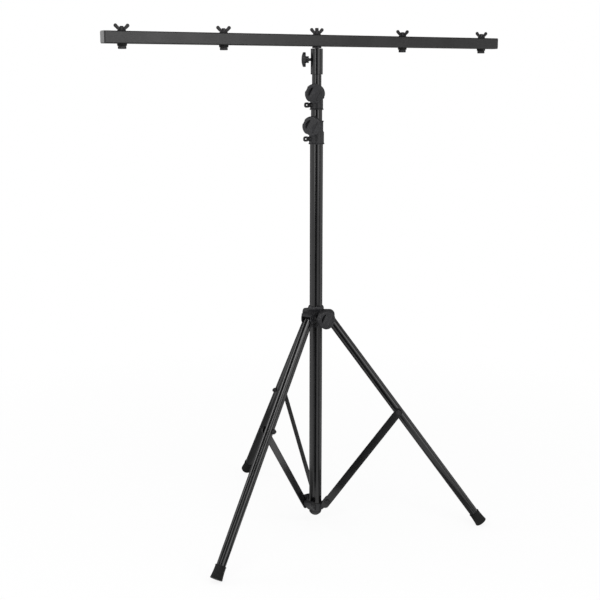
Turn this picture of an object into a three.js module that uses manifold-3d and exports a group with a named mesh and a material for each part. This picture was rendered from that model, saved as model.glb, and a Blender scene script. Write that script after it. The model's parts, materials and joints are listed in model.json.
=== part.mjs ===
// Lighting T-bar stand: a folding tripod, a two-stage telescopic mast and a drilled cross bar.
// Millimetres, +Z up. The cross bar runs along X and the odd leg points nearly to +Y.
import * as THREE from 'three';
import { mergeVertices } from 'three/addons/utils/BufferGeometryUtils.js';
import Module from 'manifold-3d';

const wasm = await Module();
wasm.setup();

const radians = THREE.MathUtils.degToRad;

// Clearances shared by many pieces
const seatGap = 0.3;
const holeGap = 0.3;
const runGap = 0.5;
const cutOverrun = 4;

// Mast tubes, each sliding in the one below it
const baseTubeRadius = 17.5;
const tubeWall = 1.2;
const slideGap = 1.3;
const baseTubeLength = 1068.2;
const middleTubeShow = 86.1;
const topTubeShow = 132.6;

// Plugs at the lower ends of the mast tubes
const plugStem = 18;
const plugFlange = 8;
const plugRunGap = 0.4;
const endPlugDrop = 15;
const endPlugNoseRadius = 4.5;

// Legs and their rubber feet
const legAngle = radians(36.4);
const firstLegAzimuth = radians(88.6);
const legTubeRadius = 12.5;
const legTubeWall = 1.2;
const legLength = 738;
const footRadius = 16.6;
const footLipRadius = 14.2;
const footHeight = 36;
const footSole = 5;
const footEdge = 0.8;
const footLipHeight = 3;
const footWaistShare = 0.45;
const footFlatDepth = 1.5;

// Leg linkage: the same length above and below the brace bolt keeps the fold exact
const linkShare = 0.4515;
const braceWidth = 22;
const braceThickness = 3;
const braceTail = 9;
const pivotBoltRadius = 4;
const pivotHeadAcross = 13;
const pivotHeadThickness = 5;
const pivotNutThickness = 5.5;
const pivotBoltEnd = 2.6;

// Sliding hub that carries the legs
const hubWall = 3;
const hubCollarRadius = 20.9;
const hubSleeveRadius = 20.5;
const hubFlangeRadius = 21.8;
const hubTopLip = 1.5;
const hubTopHeight = 30.4;
const hubFlangeHeight = 21.4;
const hubFlangeEdge = 4;
const hubBottomDepth = 28;
const hubSleeveTaper = 3;
const forkRoofClearance = 1.5;
const forkRoof = 3.5;
const forkNose = 5;
const forkNoseRadius = 15;
const forkCheek = 2.8;
const forkLipHeight = 7;
const forkDepth = 12;
const forkHeelRadius = 9;
const cheekBossRadius = 9;
const cheekBossHeight = 1;
const hubBossRadius = 9.5;
const hubBossReach = 38;

// Fixed collar near the foot of the column, with a slanting arm for each brace
const collarWall = 2.6;
const collarTopDrop = 5;
const collarDrop = 27;
const collarLip = 3;
const collarLipStep = 1.5;
const collarArmRadius = 8;
const baseTubeDrop = 29;

// Lock collars on the mast
const lowerCollarHeight = 62;
const lowerCollarGrip = 31.5;
const lowerCollarRadius = 20;
const lowerCollarNeckRadius = 17.9;
const upperCollarHeight = 55.5;
const upperCollarGrip = 27;
const upperCollarRadius = 17.2;
const upperCollarNeckRadius = 17.2;
const collarRimStep = 1.4;
const collarRimHeight = 2.5;
const lockAxisDrop = 12.5;
const lockBossRadius = 12;
const lockBossReach = 30;
const lowerLockAzimuth = radians(-133);
const upperLockAzimuth = radians(-125);
const rivetRadius = 6.5;
const rivetHeight = 3.5;
const rivetDrop = 20;
const rivetAzimuth = radians(-30);

// Clamping knobs with a grip bar between two crescent pockets
const knobRadius = 26;
const knobThickness = 16;
const knobEdge = 3;
const knobBackEdge = 2;
const knobNeckRadius = 8.5;
const knobNeckLength = 9;
const knobRim = 5.5;
const knobGripWidth = 17;
const knobPocketDepth = 9;
const knobPocketCorner = 2;
const knobLobes = 4;
const knobScallopRadius = 22;
const knobScallopDepth = 1.8;
const knobGripTurn = radians(27);
const studRadius = 5;
const clampPadLength = 6;

// Safety pins with a pull loop
const pinAzimuth = Math.PI;
const pinRadius = 3;
const pinBossRadius = 6.5;
const pinBossHeight = 4;
const pinShoulderRadius = 5.5;
const pinShoulder = 2.5;
const loopLength = 16;
const loopHeight = 14;
const loopBar = 4;
const loopThickness = 4;
const loopCorner = 5;
const pinHolePitch = 160;
const pinHoleCount = 5;
const lowerPinRise = 14.5;
const upperPinRise = 13;

// Sleeve at the mast head, its knob and the spigot it clamps
const sleeveWall = 3.2;
const sleeveHeight = 67;
const sleeveChamfer = 0.8;
const sleeveKnobDrop = 28.5;
const sleeveKnobAzimuth = radians(151.3);
const sleeveKnobRadius = 19.3;
const sleeveKnobThickness = 11.5;
const sleeveKnobDome = 3.2;
const sleeveKnobDomeShare = 0.75;
const sleeveKnobEdge = 2.2;
const sleeveKnobBossRadius = 8.8;
const sleeveKnobBoss = 8;
const sleeveKnobReach = 5;
const sleeveStudRadius = 4;
const spigotLength = 90;
const spigotChamfer = 2;
const spigotNeckRadius = 5;
const spigotNeck = 3;
const spigotFlangeRadius = 10.5;
const spigotFlange = 2;
const spigotStudRise = 17.5;

// Cross bar and its end caps
const barLength = 1180;
const barSize = 30;
const barWall = 1.5;
const barCorner = 3;
const capThickness = 4;
const capStem = 16;
const capEdge = 1.2;

// Fixture bolts along the bar, their spacers and wing nuts
const boltPitchShare = 0.2288;
const boltsPerSide = 2;
const boltRadius = 5;
const boltHeadAcross = 17;
const boltHeadThickness = 6.6;
const boltRise = 12.5;
const spacerTopRadius = 11.8;
const spacerFootRadius = 10.4;
const spacerHeight = 5.3;
const nutFlangeRadius = 10.5;
const nutFlange = 2;
const nutNeckRadius = 8.5;
const nutCrownRadius = 6.8;
const nutHeight = 9.5;
const wingSpan = 39.5;
const wingTipHeight = 18.5;
const wingThickness = 4.5;
const wingWidth = 9;
const wingRootHeight = 5;
const wingRootShare = 0.6;

// Facet counts
const roundSteps = 22;
const smallSteps = 10;
const mediumSteps = 14;
const knobSteps = 24;
const pocketSteps = 6;
const pinHoleSteps = 8;
const nutSteps = 12;
const flareSteps = 3;
const cornerSteps = 2;

// Sizes that follow from the ones above
const middleTubeRadius = baseTubeRadius - tubeWall - slideGap;
const topTubeRadius = middleTubeRadius - tubeWall - slideGap;
const hubBoreRadius = baseTubeRadius + runGap;
const pivotRadius = hubBoreRadius + hubWall + runGap + legTubeRadius;
const footEndHeight = footRadius * Math.sin(legAngle) - footFlatDepth;
const linkLength = legLength * linkShare;
const hubPivotHeight = legLength * Math.cos(legAngle) + footEndHeight;
const collarPivotHeight = hubPivotHeight - 2 * linkLength * Math.cos(legAngle);
const braceOffset = legTubeRadius + runGap + braceThickness / 2;
const columnBottom = collarPivotHeight - baseTubeDrop;
const baseTop = columnBottom + baseTubeLength;
const middlePlugBottom = columnBottom + plugStem + seatGap;
const middleBottom = middlePlugBottom + plugFlange + seatGap;
const middleTop = baseTop + middleTubeShow;
const middleTubeLength = middleTop - middleBottom;
const topPlugBottom = middleBottom + plugStem + seatGap;
const topBottom = topPlugBottom + plugFlange + seatGap;
const topTop = middleTop + topTubeShow;
const topTubeLength = topTop - topBottom;
const lowerCollarBottom = baseTop - lowerCollarGrip;
const upperCollarBottom = middleTop - upperCollarGrip;
const barBottom = topTop + spigotNeck + spigotFlange + seatGap;
const barTop = barBottom + barSize;
const boltPitch = barLength * boltPitchShare;
const legAzimuths = [0, 120, 240].map((turn) => firstLegAzimuth + radians(turn));

// Finishes
const blackPaint = { color: 0x17171a, roughness: 0.28, metalness: 0.35 };
const barPaint = { color: 0x2b2a2b, roughness: 0.36, metalness: 0.4 };
const blackSteel = { color: 0x1d1d20, roughness: 0.38, metalness: 0.7 };
const blackPlastic = { color: 0x1b1b1e, roughness: 0.55, metalness: 0 };
const greyPlastic = { color: 0x8f8f90, roughness: 0.6, metalness: 0 };
const blackRubber = { color: 0x141415, roughness: 0.85, metalness: 0 };
const brass = { color: 0xa98a4a, roughness: 0.4, metalness: 0.9 };

const stand = new THREE.Group();

// Turns a closed three.js geometry into a solid that can be joined and cut
function toSolid(geometry) {
  geometry.deleteAttribute('normal');
  geometry.deleteAttribute('uv');
  const welded = mergeVertices(geometry);
  const vertProperties = new Float32Array(welded.attributes.position.array);
  const triVerts = new Uint32Array(welded.index.array);
  return new wasm.Manifold(new wasm.Mesh({ numProp: 3, vertProperties, triVerts }));
}

function toGeometry(solid) {
  const mesh = solid.getMesh();
  const geometry = new THREE.BufferGeometry();
  geometry.setAttribute('position', new THREE.BufferAttribute(mesh.vertProperties, 3));
  geometry.setIndex(new THREE.BufferAttribute(mesh.triVerts, 1));
  geometry.computeVertexNormals();
  return geometry;
}

function joined(...solids) {
  return solids.reduce((sum, next) => sum.add(next));
}

function cut(body, ...tools) {
  return tools.reduce((rest, tool) => rest.subtract(tool), body);
}

// Adds one named mesh to a group
function addPiece(group, name, solid, finish) {
  const mesh = new THREE.Mesh(toGeometry(solid), new THREE.MeshStandardMaterial(finish));
  mesh.name = name;
  group.add(mesh);
  return mesh;
}

// A group turned about the column, so that its X axis points outward at the azimuth
function outwardGroup(azimuth, height) {
  const group = new THREE.Group();
  group.rotation.z = azimuth;
  group.position.z = height;
  stand.add(group);
  return group;
}

// Solids of revolution about Z, from a profile of [radius, height] pairs
function revolved(profile, steps = roundSteps) {
  const points = profile.map(([radius, height]) => new THREE.Vector2(radius, height));
  return toSolid(new THREE.LatheGeometry(points, steps).rotateX(Math.PI / 2));
}

function rod(radius, from, to, steps = roundSteps) {
  return revolved([[0, from], [radius, from], [radius, to], [0, to]], steps);
}

function tube(outer, inner, from, to, steps = roundSteps) {
  return revolved([[inner, from], [outer, from], [outer, to], [inner, to], [inner, from]], steps);
}

// A hexagonal prism, as wide as the spanner that fits it
function hexagon(across, from, to) {
  return rod(across / Math.sqrt(3), from, to, 6);
}

// Solids built along Z are laid along X or along Y
const alongX = (solid) => solid.rotate([0, 90, 0]);
const alongY = (solid) => solid.rotate([-90, 0, 0]);

// A flat outline drawn in X and Y, extruded from one height to another
function slab(shape, from, to, steps = cornerSteps) {
  const settings = { depth: to - from, bevelEnabled: false, curveSegments: steps };
  return toSolid(new THREE.ExtrudeGeometry(shape, settings)).translate([0, 0, from]);
}

// A flat outline drawn in X and Z, as thick as given and centred on Y = 0
function uprightSlab(shape, thickness, steps = cornerSteps) {
  return slab(shape, -thickness / 2, thickness / 2, steps).rotate([90, 0, 0]);
}

function roundedRectangle(left, bottom, width, height, corner) {
  const shape = new THREE.Shape();
  const right = left + width;
  const top = bottom + height;
  shape.absarc(right - corner, top - corner, corner, 0, Math.PI / 2);
  shape.absarc(left + corner, top - corner, corner, Math.PI / 2, Math.PI);
  shape.absarc(left + corner, bottom + corner, corner, Math.PI, 1.5 * Math.PI);
  shape.absarc(right - corner, bottom + corner, corner, 1.5 * Math.PI, 2 * Math.PI);
  return shape;
}

// Points of a quarter round between two heights of a profile, for soft edges
function quarterRound(centreRadius, centreHeight, edge, startTurn) {
  const steps = Array.from({ length: cornerSteps + 1 }, (_, step) => step / cornerSteps);
  return steps.map((share) => {
    const turn = startTurn + share * (Math.PI / 2);
    return [centreRadius + edge * Math.cos(turn), centreHeight + edge * Math.sin(turn)];
  });
}

// Mast tubes and the plugs at their lower ends

function mastTube(radius, length, pinHeights, pinHoleRadius) {
  const body = tube(radius, radius - tubeWall, 0, length);
  const holes = pinHeights.map((height) => {
    const drill = alongX(rod(pinHoleRadius, 0, radius + cutOverrun, pinHoleSteps));
    return drill.rotate([0, 0, THREE.MathUtils.radToDeg(pinAzimuth)]).translate([0, 0, height]);
  });
  return cut(body, ...holes);
}

// Rest heights of the holes that meet a safety pin when the tube is drawn up
function pinHoleHeights(pinHeight, tubeBottom) {
  const rises = Array.from({ length: pinHoleCount }, (_, index) => (index + 1) * pinHolePitch);
  return rises.map((rise) => pinHeight - rise - tubeBottom);
}

function tubePlug(tubeRadius, outerBoreRadius) {
  const flangeRadius = outerBoreRadius - plugRunGap;
  const stemRadius = tubeRadius - tubeWall - seatGap;
  const stemTop = plugFlange + seatGap + plugStem;
  const profile = [
    [0, 0],
    [flangeRadius, 0],
    [flangeRadius, plugFlange],
    [stemRadius, plugFlange],
    [stemRadius, stemTop],
    [0, stemTop],
  ];
  return revolved(profile);
}

function columnEndPlug() {
  const stemRadius = baseTubeRadius - tubeWall - seatGap;
  const nose = new THREE.QuadraticBezierCurve(
    new THREE.Vector2(endPlugNoseRadius, -endPlugDrop),
    new THREE.Vector2(baseTubeRadius, -endPlugDrop),
    new THREE.Vector2(baseTubeRadius, -seatGap),
  );
  const outline = nose.getPoints(flareSteps).map((point) => [point.x, point.y]);
  const stem = [[stemRadius, -seatGap], [stemRadius, plugStem], [0, plugStem]];
  return revolved([[0, -endPlugDrop], ...outline, ...stem]);
}

function addMast() {
  const pinHoleRadius = pinRadius + holeGap;
  const lowerPinHeight = lowerCollarBottom + lowerPinRise;
  const upperPinHeight = upperCollarBottom + upperPinRise;
  const baseTube = mastTube(baseTubeRadius, baseTubeLength, [lowerPinHeight - columnBottom], pinHoleRadius);
  addPiece(stand, 'base_tube', baseTube, blackPaint).position.z = columnBottom;
  addPiece(stand, 'column_end_plug', columnEndPlug(), blackPlastic).position.z = columnBottom;

  const middleHoles = [upperPinHeight - middleBottom, ...pinHoleHeights(lowerPinHeight, middleBottom)];
  const middleTube = mastTube(middleTubeRadius, middleTubeLength, middleHoles, pinHoleRadius);
  addPiece(stand, 'middle_tube', middleTube, blackPaint).position.z = middleBottom;
  const middlePlug = tubePlug(middleTubeRadius, baseTubeRadius - tubeWall);
  addPiece(stand, 'middle_tube_plug', middlePlug, blackPlastic).position.z = middlePlugBottom;

  const topHoles = pinHoleHeights(upperPinHeight, topBottom);
  const studHole = alongX(rod(sleeveStudRadius + holeGap, 0, topTubeRadius + cutOverrun, smallSteps));
  const turnedHole = studHole.rotate([0, 0, THREE.MathUtils.radToDeg(sleeveKnobAzimuth)]);
  const topTube = mastTube(topTubeRadius, topTubeLength, topHoles, pinHoleRadius);
  const drilledTop = cut(topTube, turnedHole.translate([0, 0, topTubeLength - sleeveKnobDrop]));
  addPiece(stand, 'top_tube', drilledTop, blackPaint).position.z = topBottom;
  const topPlug = tubePlug(topTubeRadius, middleTubeRadius - tubeWall);
  addPiece(stand, 'top_tube_plug', topPlug, blackPlastic).position.z = topPlugBottom;
}

// Clamping knob along Z: the back of the disc is at Z = 0 and the stud reaches down from it
function gripKnob(studLength) {
  const disc = revolved([
    [0, 0],
    [knobRadius - knobBackEdge, 0],
    [knobRadius, knobBackEdge],
    ...quarterRound(knobRadius - knobEdge, knobThickness - knobEdge, knobEdge, 0),
    [0, knobThickness],
  ], knobSteps);
  const pocketRadius = knobRadius - knobRim;
  const pocketHalf = knobGripWidth / 2;
  const spread = Math.acos(pocketHalf / pocketRadius);
  const pocketShape = new THREE.Shape();
  pocketShape.absarc(0, 0, pocketRadius, -spread, spread);
  pocketShape.lineTo(pocketHalf, pocketRadius * Math.sin(spread) - knobPocketCorner);
  pocketShape.lineTo(pocketHalf, knobPocketCorner - pocketRadius * Math.sin(spread));
  const pocket = slab(pocketShape, knobThickness - knobPocketDepth, knobThickness + cutOverrun, pocketSteps);
  const scallops = Array.from({ length: knobLobes }, (_, index) => {
    const reach = knobRadius + knobScallopRadius - knobScallopDepth;
    const cutter = rod(knobScallopRadius, -cutOverrun, knobThickness + cutOverrun);
    return cutter.translate([reach, 0, 0]).rotate([0, 0, (index * 360) / knobLobes]);
  });
  const head = cut(disc, pocket, pocket.rotate([0, 0, 180]), ...scallops);
  const turned = head.rotate([0, 0, 90 - THREE.MathUtils.radToDeg(knobGripTurn)]);
  const neck = rod(knobNeckRadius, -knobNeckLength, knobEdge, nutSteps);
  const stud = rod(studRadius, -studLength, knobEdge, smallSteps);
  return joined(turned, neck, stud);
}

function clampPad(from) {
  return alongX(rod(studRadius, from, from + clampPadLength, smallSteps));
}

// Adds a knob that screws in along the group's X axis, with the pad that its stud presses
function addClamp(group, knobName, padName, tubeRadius, bossReach) {
  const padInner = tubeRadius + seatGap;
  const padOuter = padInner + clampPadLength + seatGap;
  const discBack = bossReach + runGap + knobNeckLength;
  const knob = alongX(gripKnob(discBack - padOuter)).translate([discBack, 0, 0]);
  addPiece(group, knobName, knob, blackPlastic);
  addPiece(group, padName, clampPad(padInner), brass);
}

// Lock collars: a socket for the larger tube below and a guide for the smaller one above

function lockCollar(spec) {
  const { height, grip, radius, neckRadius, lowerTube, upperTube, lockAzimuth, pinRise, hasRivet } = spec;
  const neckRise = grip + collarRimStep;
  const outer = revolved([
    [0, 0],
    [radius + collarRimStep, 0],
    [radius + collarRimStep, collarRimHeight],
    [radius, collarRimHeight + collarRimStep],
    [radius, grip],
    [neckRadius, neckRise + radius - neckRadius],
    [neckRadius, height - collarRimHeight - collarRimStep],
    [neckRadius + collarRimStep, height - collarRimHeight],
    [neckRadius + collarRimStep, height],
    [0, height],
  ]);
  const lockHeight = height - lockAxisDrop;
  const lockTurn = [0, 0, THREE.MathUtils.radToDeg(lockAzimuth)];
  const pinTurn = [0, 0, THREE.MathUtils.radToDeg(pinAzimuth)];
  const lockBoss = alongX(rod(lockBossRadius, 0, lockBossReach, nutSteps));
  const lockHole = alongX(rod(studRadius + holeGap, 0, lockBossReach + cutOverrun, smallSteps));
  const pinBoss = alongX(rod(pinBossRadius, 0, radius + pinBossHeight, smallSteps));
  const pinHole = alongX(rod(pinRadius + holeGap, 0, radius + pinBossHeight + cutOverrun, smallSteps));
  let body = joined(
    outer,
    lockBoss.rotate(lockTurn).translate([0, 0, lockHeight]),
    pinBoss.rotate(pinTurn).translate([0, 0, pinRise]),
  );
  if (hasRivet) {
    const dome = domeRim(rivetRadius, neckRadius, rivetHeight);
    const crown = [[0, 0], [rivetRadius, 0], ...dome, [0, neckRadius + rivetHeight]];
    const rivet = alongX(revolved(crown, smallSteps)).rotate([0, 0, THREE.MathUtils.radToDeg(rivetAzimuth)]);
    body = body.add(rivet.translate([0, 0, height - rivetDrop]));
  }
  return cut(
    body,
    rod(lowerTube + seatGap, -cutOverrun, grip + seatGap),
    rod(upperTube + runGap, 0, height + cutOverrun),
    lockHole.rotate(lockTurn).translate([0, 0, lockHeight]),
    pinHole.rotate(pinTurn).translate([0, 0, pinRise]),
  );
}

// Rim points of a low dome that stands on a collar wall
function domeRim(radius, base, rise) {
  const turns = Array.from({ length: cornerSteps }, (_, step) => (step / cornerSteps) * (Math.PI / 2));
  return turns.map((turn) => [radius * Math.cos(turn), base + rise * Math.sin(turn)]);
}

function safetyPin(tipRadius, seatRadius) {
  const seat = seatRadius + seatGap;
  const loopStart = seat + pinShoulder;
  const shaft = alongX(rod(pinRadius, tipRadius, loopStart + loopBar / 2, smallSteps));
  const shoulder = alongX(rod(pinShoulderRadius, seat, loopStart, smallSteps));
  const loopLeft = loopStart - loopBar / 2;
  const holeLeft = loopLeft + loopBar;
  const holeLength = loopLength - 2 * loopBar;
  const holeHeight = loopHeight - 2 * loopBar;
  const holeCorner = loopCorner - loopBar;
  const loopShape = roundedRectangle(loopLeft, -loopHeight / 2, loopLength, loopHeight, loopCorner);
  loopShape.holes.push(roundedRectangle(holeLeft, -holeHeight / 2, holeLength, holeHeight, holeCorner));
  return joined(shaft, shoulder, uprightSlab(loopShape, loopThickness));
}

function addLockCollars() {
  const lower = {
    height: lowerCollarHeight,
    grip: lowerCollarGrip,
    radius: lowerCollarRadius,
    neckRadius: lowerCollarNeckRadius,
    lowerTube: baseTubeRadius,
    upperTube: middleTubeRadius,
    lockAzimuth: lowerLockAzimuth,
    pinRise: lowerPinRise,
    hasRivet: false,
  };
  const upper = {
    height: upperCollarHeight,
    grip: upperCollarGrip,
    radius: upperCollarRadius,
    neckRadius: upperCollarNeckRadius,
    lowerTube: middleTubeRadius,
    upperTube: topTubeRadius,
    lockAzimuth: upperLockAzimuth,
    pinRise: upperPinRise,
    hasRivet: true,
  };
  const places = [['lower', lower, lowerCollarBottom], ['upper', upper, upperCollarBottom]];
  for (const [word, spec, bottom] of places) {
    addPiece(stand, `${word}_lock_collar`, lockCollar(spec), blackPlastic).position.z = bottom;
    const clampGroup = outwardGroup(spec.lockAzimuth, bottom + spec.height - lockAxisDrop);
    addClamp(clampGroup, `${word}_lock_knob`, `${word}_clamp_pad`, spec.upperTube, lockBossReach);
    const pinGroup = outwardGroup(pinAzimuth, bottom + spec.pinRise);
    const pinTip = spec.lowerTube - tubeWall + seatGap / 2;
    addPiece(pinGroup, `${word}_safety_pin`, safetyPin(pinTip, spec.radius + pinBossHeight), blackSteel);
  }
}

// Bolt with its head and lock nut, laid along Y: the head is on the -Y side
function crossBolt(headFace, nutFace, withNut) {
  const headOuter = headFace + pivotHeadThickness;
  const nutOuter = nutFace + pivotNutThickness;
  const shank = rod(pivotBoltRadius, -headOuter, nutOuter + pivotBoltEnd, smallSteps);
  const head = hexagon(pivotHeadAcross, -headOuter, -headFace);
  if (!withNut) {
    return alongY(joined(shank, head));
  }
  return alongY(joined(shank, head, hexagon(pivotHeadAcross, nutFace, nutOuter)));
}

function lockNut(nutFace) {
  const body = hexagon(pivotHeadAcross, nutFace, nutFace + pivotNutThickness);
  const boreEnd = nutFace + pivotNutThickness + cutOverrun;
  const bore = rod(pivotBoltRadius + holeGap, nutFace - cutOverrun, boreEnd, smallSteps);
  return alongY(cut(body, bore));
}

const crossDrill = (radius, half) => alongY(rod(radius, -half, half, smallSteps));

// Hub: sleeve on the base tube with three forks for the legs and a boss for its knob

function forkOutline() {
  const reach = legTubeRadius + forkNose;
  const roofTop = legTubeRadius + forkRoofClearance + forkRoof;
  const shape = new THREE.Shape();
  shape.moveTo(-pivotRadius, roofTop);
  shape.lineTo(reach - forkNoseRadius, roofTop);
  shape.absarc(reach - forkNoseRadius, roofTop - forkNoseRadius, forkNoseRadius, Math.PI / 2, 0, true);
  shape.absarc(reach - forkHeelRadius, forkHeelRadius - forkDepth, forkHeelRadius, 0, -Math.PI / 2, true);
  shape.lineTo(-pivotRadius, -forkDepth);
  return shape;
}

// The pocket in a fork: closed above, open below and towards the swinging leg
function forkSlotOutline() {
  const inner = -legTubeRadius - runGap;
  const roof = legTubeRadius + forkRoofClearance;
  const noseInner = legTubeRadius + runGap;
  const corner = roof - forkLipHeight;
  const shape = new THREE.Shape();
  shape.moveTo(inner, roof);
  shape.lineTo(noseInner - corner, roof);
  shape.absarc(noseInner - corner, forkLipHeight, corner, Math.PI / 2, 0, true);
  shape.lineTo(noseInner + forkNose + cutOverrun, forkLipHeight);
  shape.lineTo(noseInner + forkNose + cutOverrun, -hubBottomDepth - cutOverrun);
  shape.lineTo(inner, -hubBottomDepth - cutOverrun);
  return shape;
}

function hubBody() {
  const core = revolved([
    [0, -hubBottomDepth],
    [hubSleeveRadius, -hubBottomDepth],
    [hubSleeveRadius, -forkDepth - hubSleeveTaper],
    [hubCollarRadius, -forkDepth],
    [hubCollarRadius, hubFlangeHeight - hubSleeveTaper],
    [hubFlangeRadius, hubFlangeHeight],
    [hubFlangeRadius, hubFlangeHeight + hubFlangeEdge],
    [hubBoreRadius + hubTopLip, hubTopHeight],
    [0, hubTopHeight],
  ]);
  const slotHalf = legTubeRadius + runGap;
  const forkHalf = slotHalf + forkCheek;
  const bossHalf = forkHalf + cheekBossHeight;
  const fork = uprightSlab(forkOutline(), 2 * forkHalf, flareSteps);
  const cheekBosses = alongY(rod(cheekBossRadius, -bossHalf, bossHalf, nutSteps));
  const slot = uprightSlab(forkSlotOutline(), 2 * slotHalf, flareSteps);
  const drill = crossDrill(pivotBoltRadius + holeGap, bossHalf + cutOverrun);
  let body = core.add(alongX(rod(hubBossRadius, 0, hubBossReach, nutSteps)).rotate([0, 0, -90]));
  for (const azimuth of legAzimuths) {
    const turn = [0, 0, THREE.MathUtils.radToDeg(azimuth)];
    body = body.add(joined(fork, cheekBosses).translate([pivotRadius, 0, 0]).rotate(turn));
  }
  for (const azimuth of legAzimuths) {
    const turn = [0, 0, THREE.MathUtils.radToDeg(azimuth)];
    body = cut(body, joined(slot, drill).translate([pivotRadius, 0, 0]).rotate(turn));
  }
  const studHole = alongX(rod(studRadius + holeGap, 0, hubBossReach + cutOverrun, smallSteps));
  const bore = rod(hubBoreRadius, -hubBottomDepth - cutOverrun, hubTopHeight + cutOverrun);
  return cut(body, bore, studHole.rotate([0, 0, -90]));
}

function addHub() {
  addPiece(stand, 'hub', hubBody(), blackPlastic).position.z = hubPivotHeight;
  const clampGroup = outwardGroup(-Math.PI / 2, hubPivotHeight);
  addClamp(clampGroup, 'hub_knob', 'hub_clamp_pad', baseTubeRadius, hubBossReach);
  const face = legTubeRadius + runGap + forkCheek + cheekBossHeight + seatGap;
  legAzimuths.forEach((azimuth, index) => {
    const group = outwardGroup(azimuth, hubPivotHeight);
    const bolt = addPiece(group, `leg_pivot_bolt_${index + 1}`, crossBolt(face, face, false), blackSteel);
    const nut = addPiece(group, `leg_pivot_nut_${index + 1}`, lockNut(face), blackSteel);
    bolt.position.x = pivotRadius;
    nut.position.x = pivotRadius;
  });
}

// Legs: the pivot is at the origin and the leg runs down along -Z

function legTube() {
  const end = legLength - footSole - seatGap;
  const body = tube(legTubeRadius, legTubeRadius - legTubeWall, -end, legTubeRadius, mediumSteps);
  const topBlock = uprightSlab(
    roundedRectangle(-2 * legTubeRadius, 0, 4 * legTubeRadius, 2 * legTubeRadius, 0),
    2 * legTubeRadius + cutOverrun,
  );
  const topRound = crossDrill(legTubeRadius, 2 * legTubeRadius);
  const pivotDrill = crossDrill(pivotBoltRadius + holeGap, legTubeRadius + cutOverrun);
  return cut(body, topBlock.subtract(topRound), pivotDrill, pivotDrill.translate([0, 0, -linkLength]));
}

// Flared rubber cap, cut flat where it stands on the floor
function rubberFoot() {
  const boreRadius = legTubeRadius + seatGap;
  const top = footHeight - legLength;
  const waist = new THREE.QuadraticBezierCurve(
    new THREE.Vector2(footRadius, footEdge - legLength),
    new THREE.Vector2(footLipRadius, footHeight * footWaistShare - legLength),
    new THREE.Vector2(footLipRadius, top - footLipHeight),
  );
  const flare = waist.getPoints(flareSteps).map((point) => [point.x, point.y]);
  const cap = revolved([
    [0, -legLength],
    [footRadius - footEdge, -legLength],
    ...flare,
    [footLipRadius, top],
    [boreRadius, top],
    [boreRadius, footSole - legLength],
    [0, footSole - legLength],
  ]);
  const floor = new THREE.BoxGeometry(4 * footRadius, 4 * footRadius, 2 * footRadius);
  floor.translate(legLength * Math.sin(legAngle), 0, -hubPivotHeight - footRadius);
  floor.rotateY(legAngle);
  return cut(cap, toSolid(floor));
}

function braceBar() {
  const half = braceWidth / 2;
  const shape = new THREE.Shape();
  shape.absarc(0, -braceTail, half, Math.PI, 2 * Math.PI);
  shape.absarc(0, linkLength, half, 0, Math.PI);
  const bar = uprightSlab(shape, braceThickness, flareSteps + flareSteps);
  const drill = crossDrill(pivotBoltRadius + holeGap, braceThickness + cutOverrun);
  return cut(bar, drill, drill.translate([0, 0, linkLength])).translate([0, -braceOffset, 0]);
}

function addLegs() {
  const headFace = braceOffset + braceThickness / 2 + seatGap;
  const nutFace = legTubeRadius + seatGap;
  legAzimuths.forEach((azimuth, index) => {
    const number = index + 1;
    const leg = new THREE.Group();
    leg.position.x = pivotRadius;
    leg.rotation.y = -legAngle;
    outwardGroup(azimuth, hubPivotHeight).add(leg);
    addPiece(leg, `leg_tube_${number}`, legTube(), blackPaint);
    addPiece(leg, `foot_${number}`, rubberFoot(), blackRubber);
    const bolt = addPiece(leg, `brace_bolt_${number}`, crossBolt(headFace, nutFace, true), blackSteel);
    bolt.position.z = -linkLength;
    const collarSide = outwardGroup(azimuth, collarPivotHeight);
    const brace = addPiece(collarSide, `brace_${number}`, braceBar(), blackPaint);
    brace.position.x = pivotRadius;
    brace.rotation.y = legAngle;
    const jointBolt = crossBolt(headFace, nutFace, true);
    const lowBolt = addPiece(collarSide, `collar_bolt_${number}`, jointBolt, blackSteel);
    lowBolt.position.x = pivotRadius;
  });
}

// Brace collar: a sleeve fixed to the column with a slanting arm for each brace

function collarArmOutline(outer, bottom) {
  const run = pivotRadius - outer;
  const footSlope = Math.atan2(-bottom, run) - Math.asin(collarArmRadius / Math.hypot(run, bottom));
  const inward = (pivotRadius - baseTubeRadius) * Math.cos(legAngle);
  const innerEdge = (collarArmRadius - inward) / Math.sin(legAngle);
  const shape = new THREE.Shape();
  shape.moveTo(0, bottom);
  shape.lineTo(outer, bottom);
  shape.absarc(pivotRadius, 0, collarArmRadius, footSlope - Math.PI / 2, Math.PI - legAngle);
  shape.lineTo(baseTubeRadius, innerEdge);
  shape.lineTo(0, innerEdge);
  return shape;
}

function braceCollar() {
  const outer = baseTubeRadius + seatGap + collarWall;
  const bottom = -collarDrop;
  const top = -collarTopDrop;
  const sleeve = revolved([
    [0, bottom],
    [outer - collarLipStep, bottom],
    [outer, bottom + collarLip],
    [outer, top],
    [0, top],
  ]);
  const armBottom = bottom + collarLip;
  const arm = uprightSlab(collarArmOutline(outer, armBottom), 2 * legTubeRadius, flareSteps + flareSteps);
  const drill = crossDrill(pivotBoltRadius + holeGap, legTubeRadius + cutOverrun);
  const placedDrill = drill.translate([pivotRadius, 0, 0]);
  let body = sleeve;
  for (const azimuth of legAzimuths) {
    body = body.add(arm.rotate([0, 0, THREE.MathUtils.radToDeg(azimuth)]));
  }
  for (const azimuth of legAzimuths) {
    body = cut(body, placedDrill.rotate([0, 0, THREE.MathUtils.radToDeg(azimuth)]));
  }
  return cut(body, rod(baseTubeRadius + seatGap, bottom - cutOverrun, top + cutOverrun));
}

// Mast head: sleeve, its knob and the spigot that carries the bar

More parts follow.
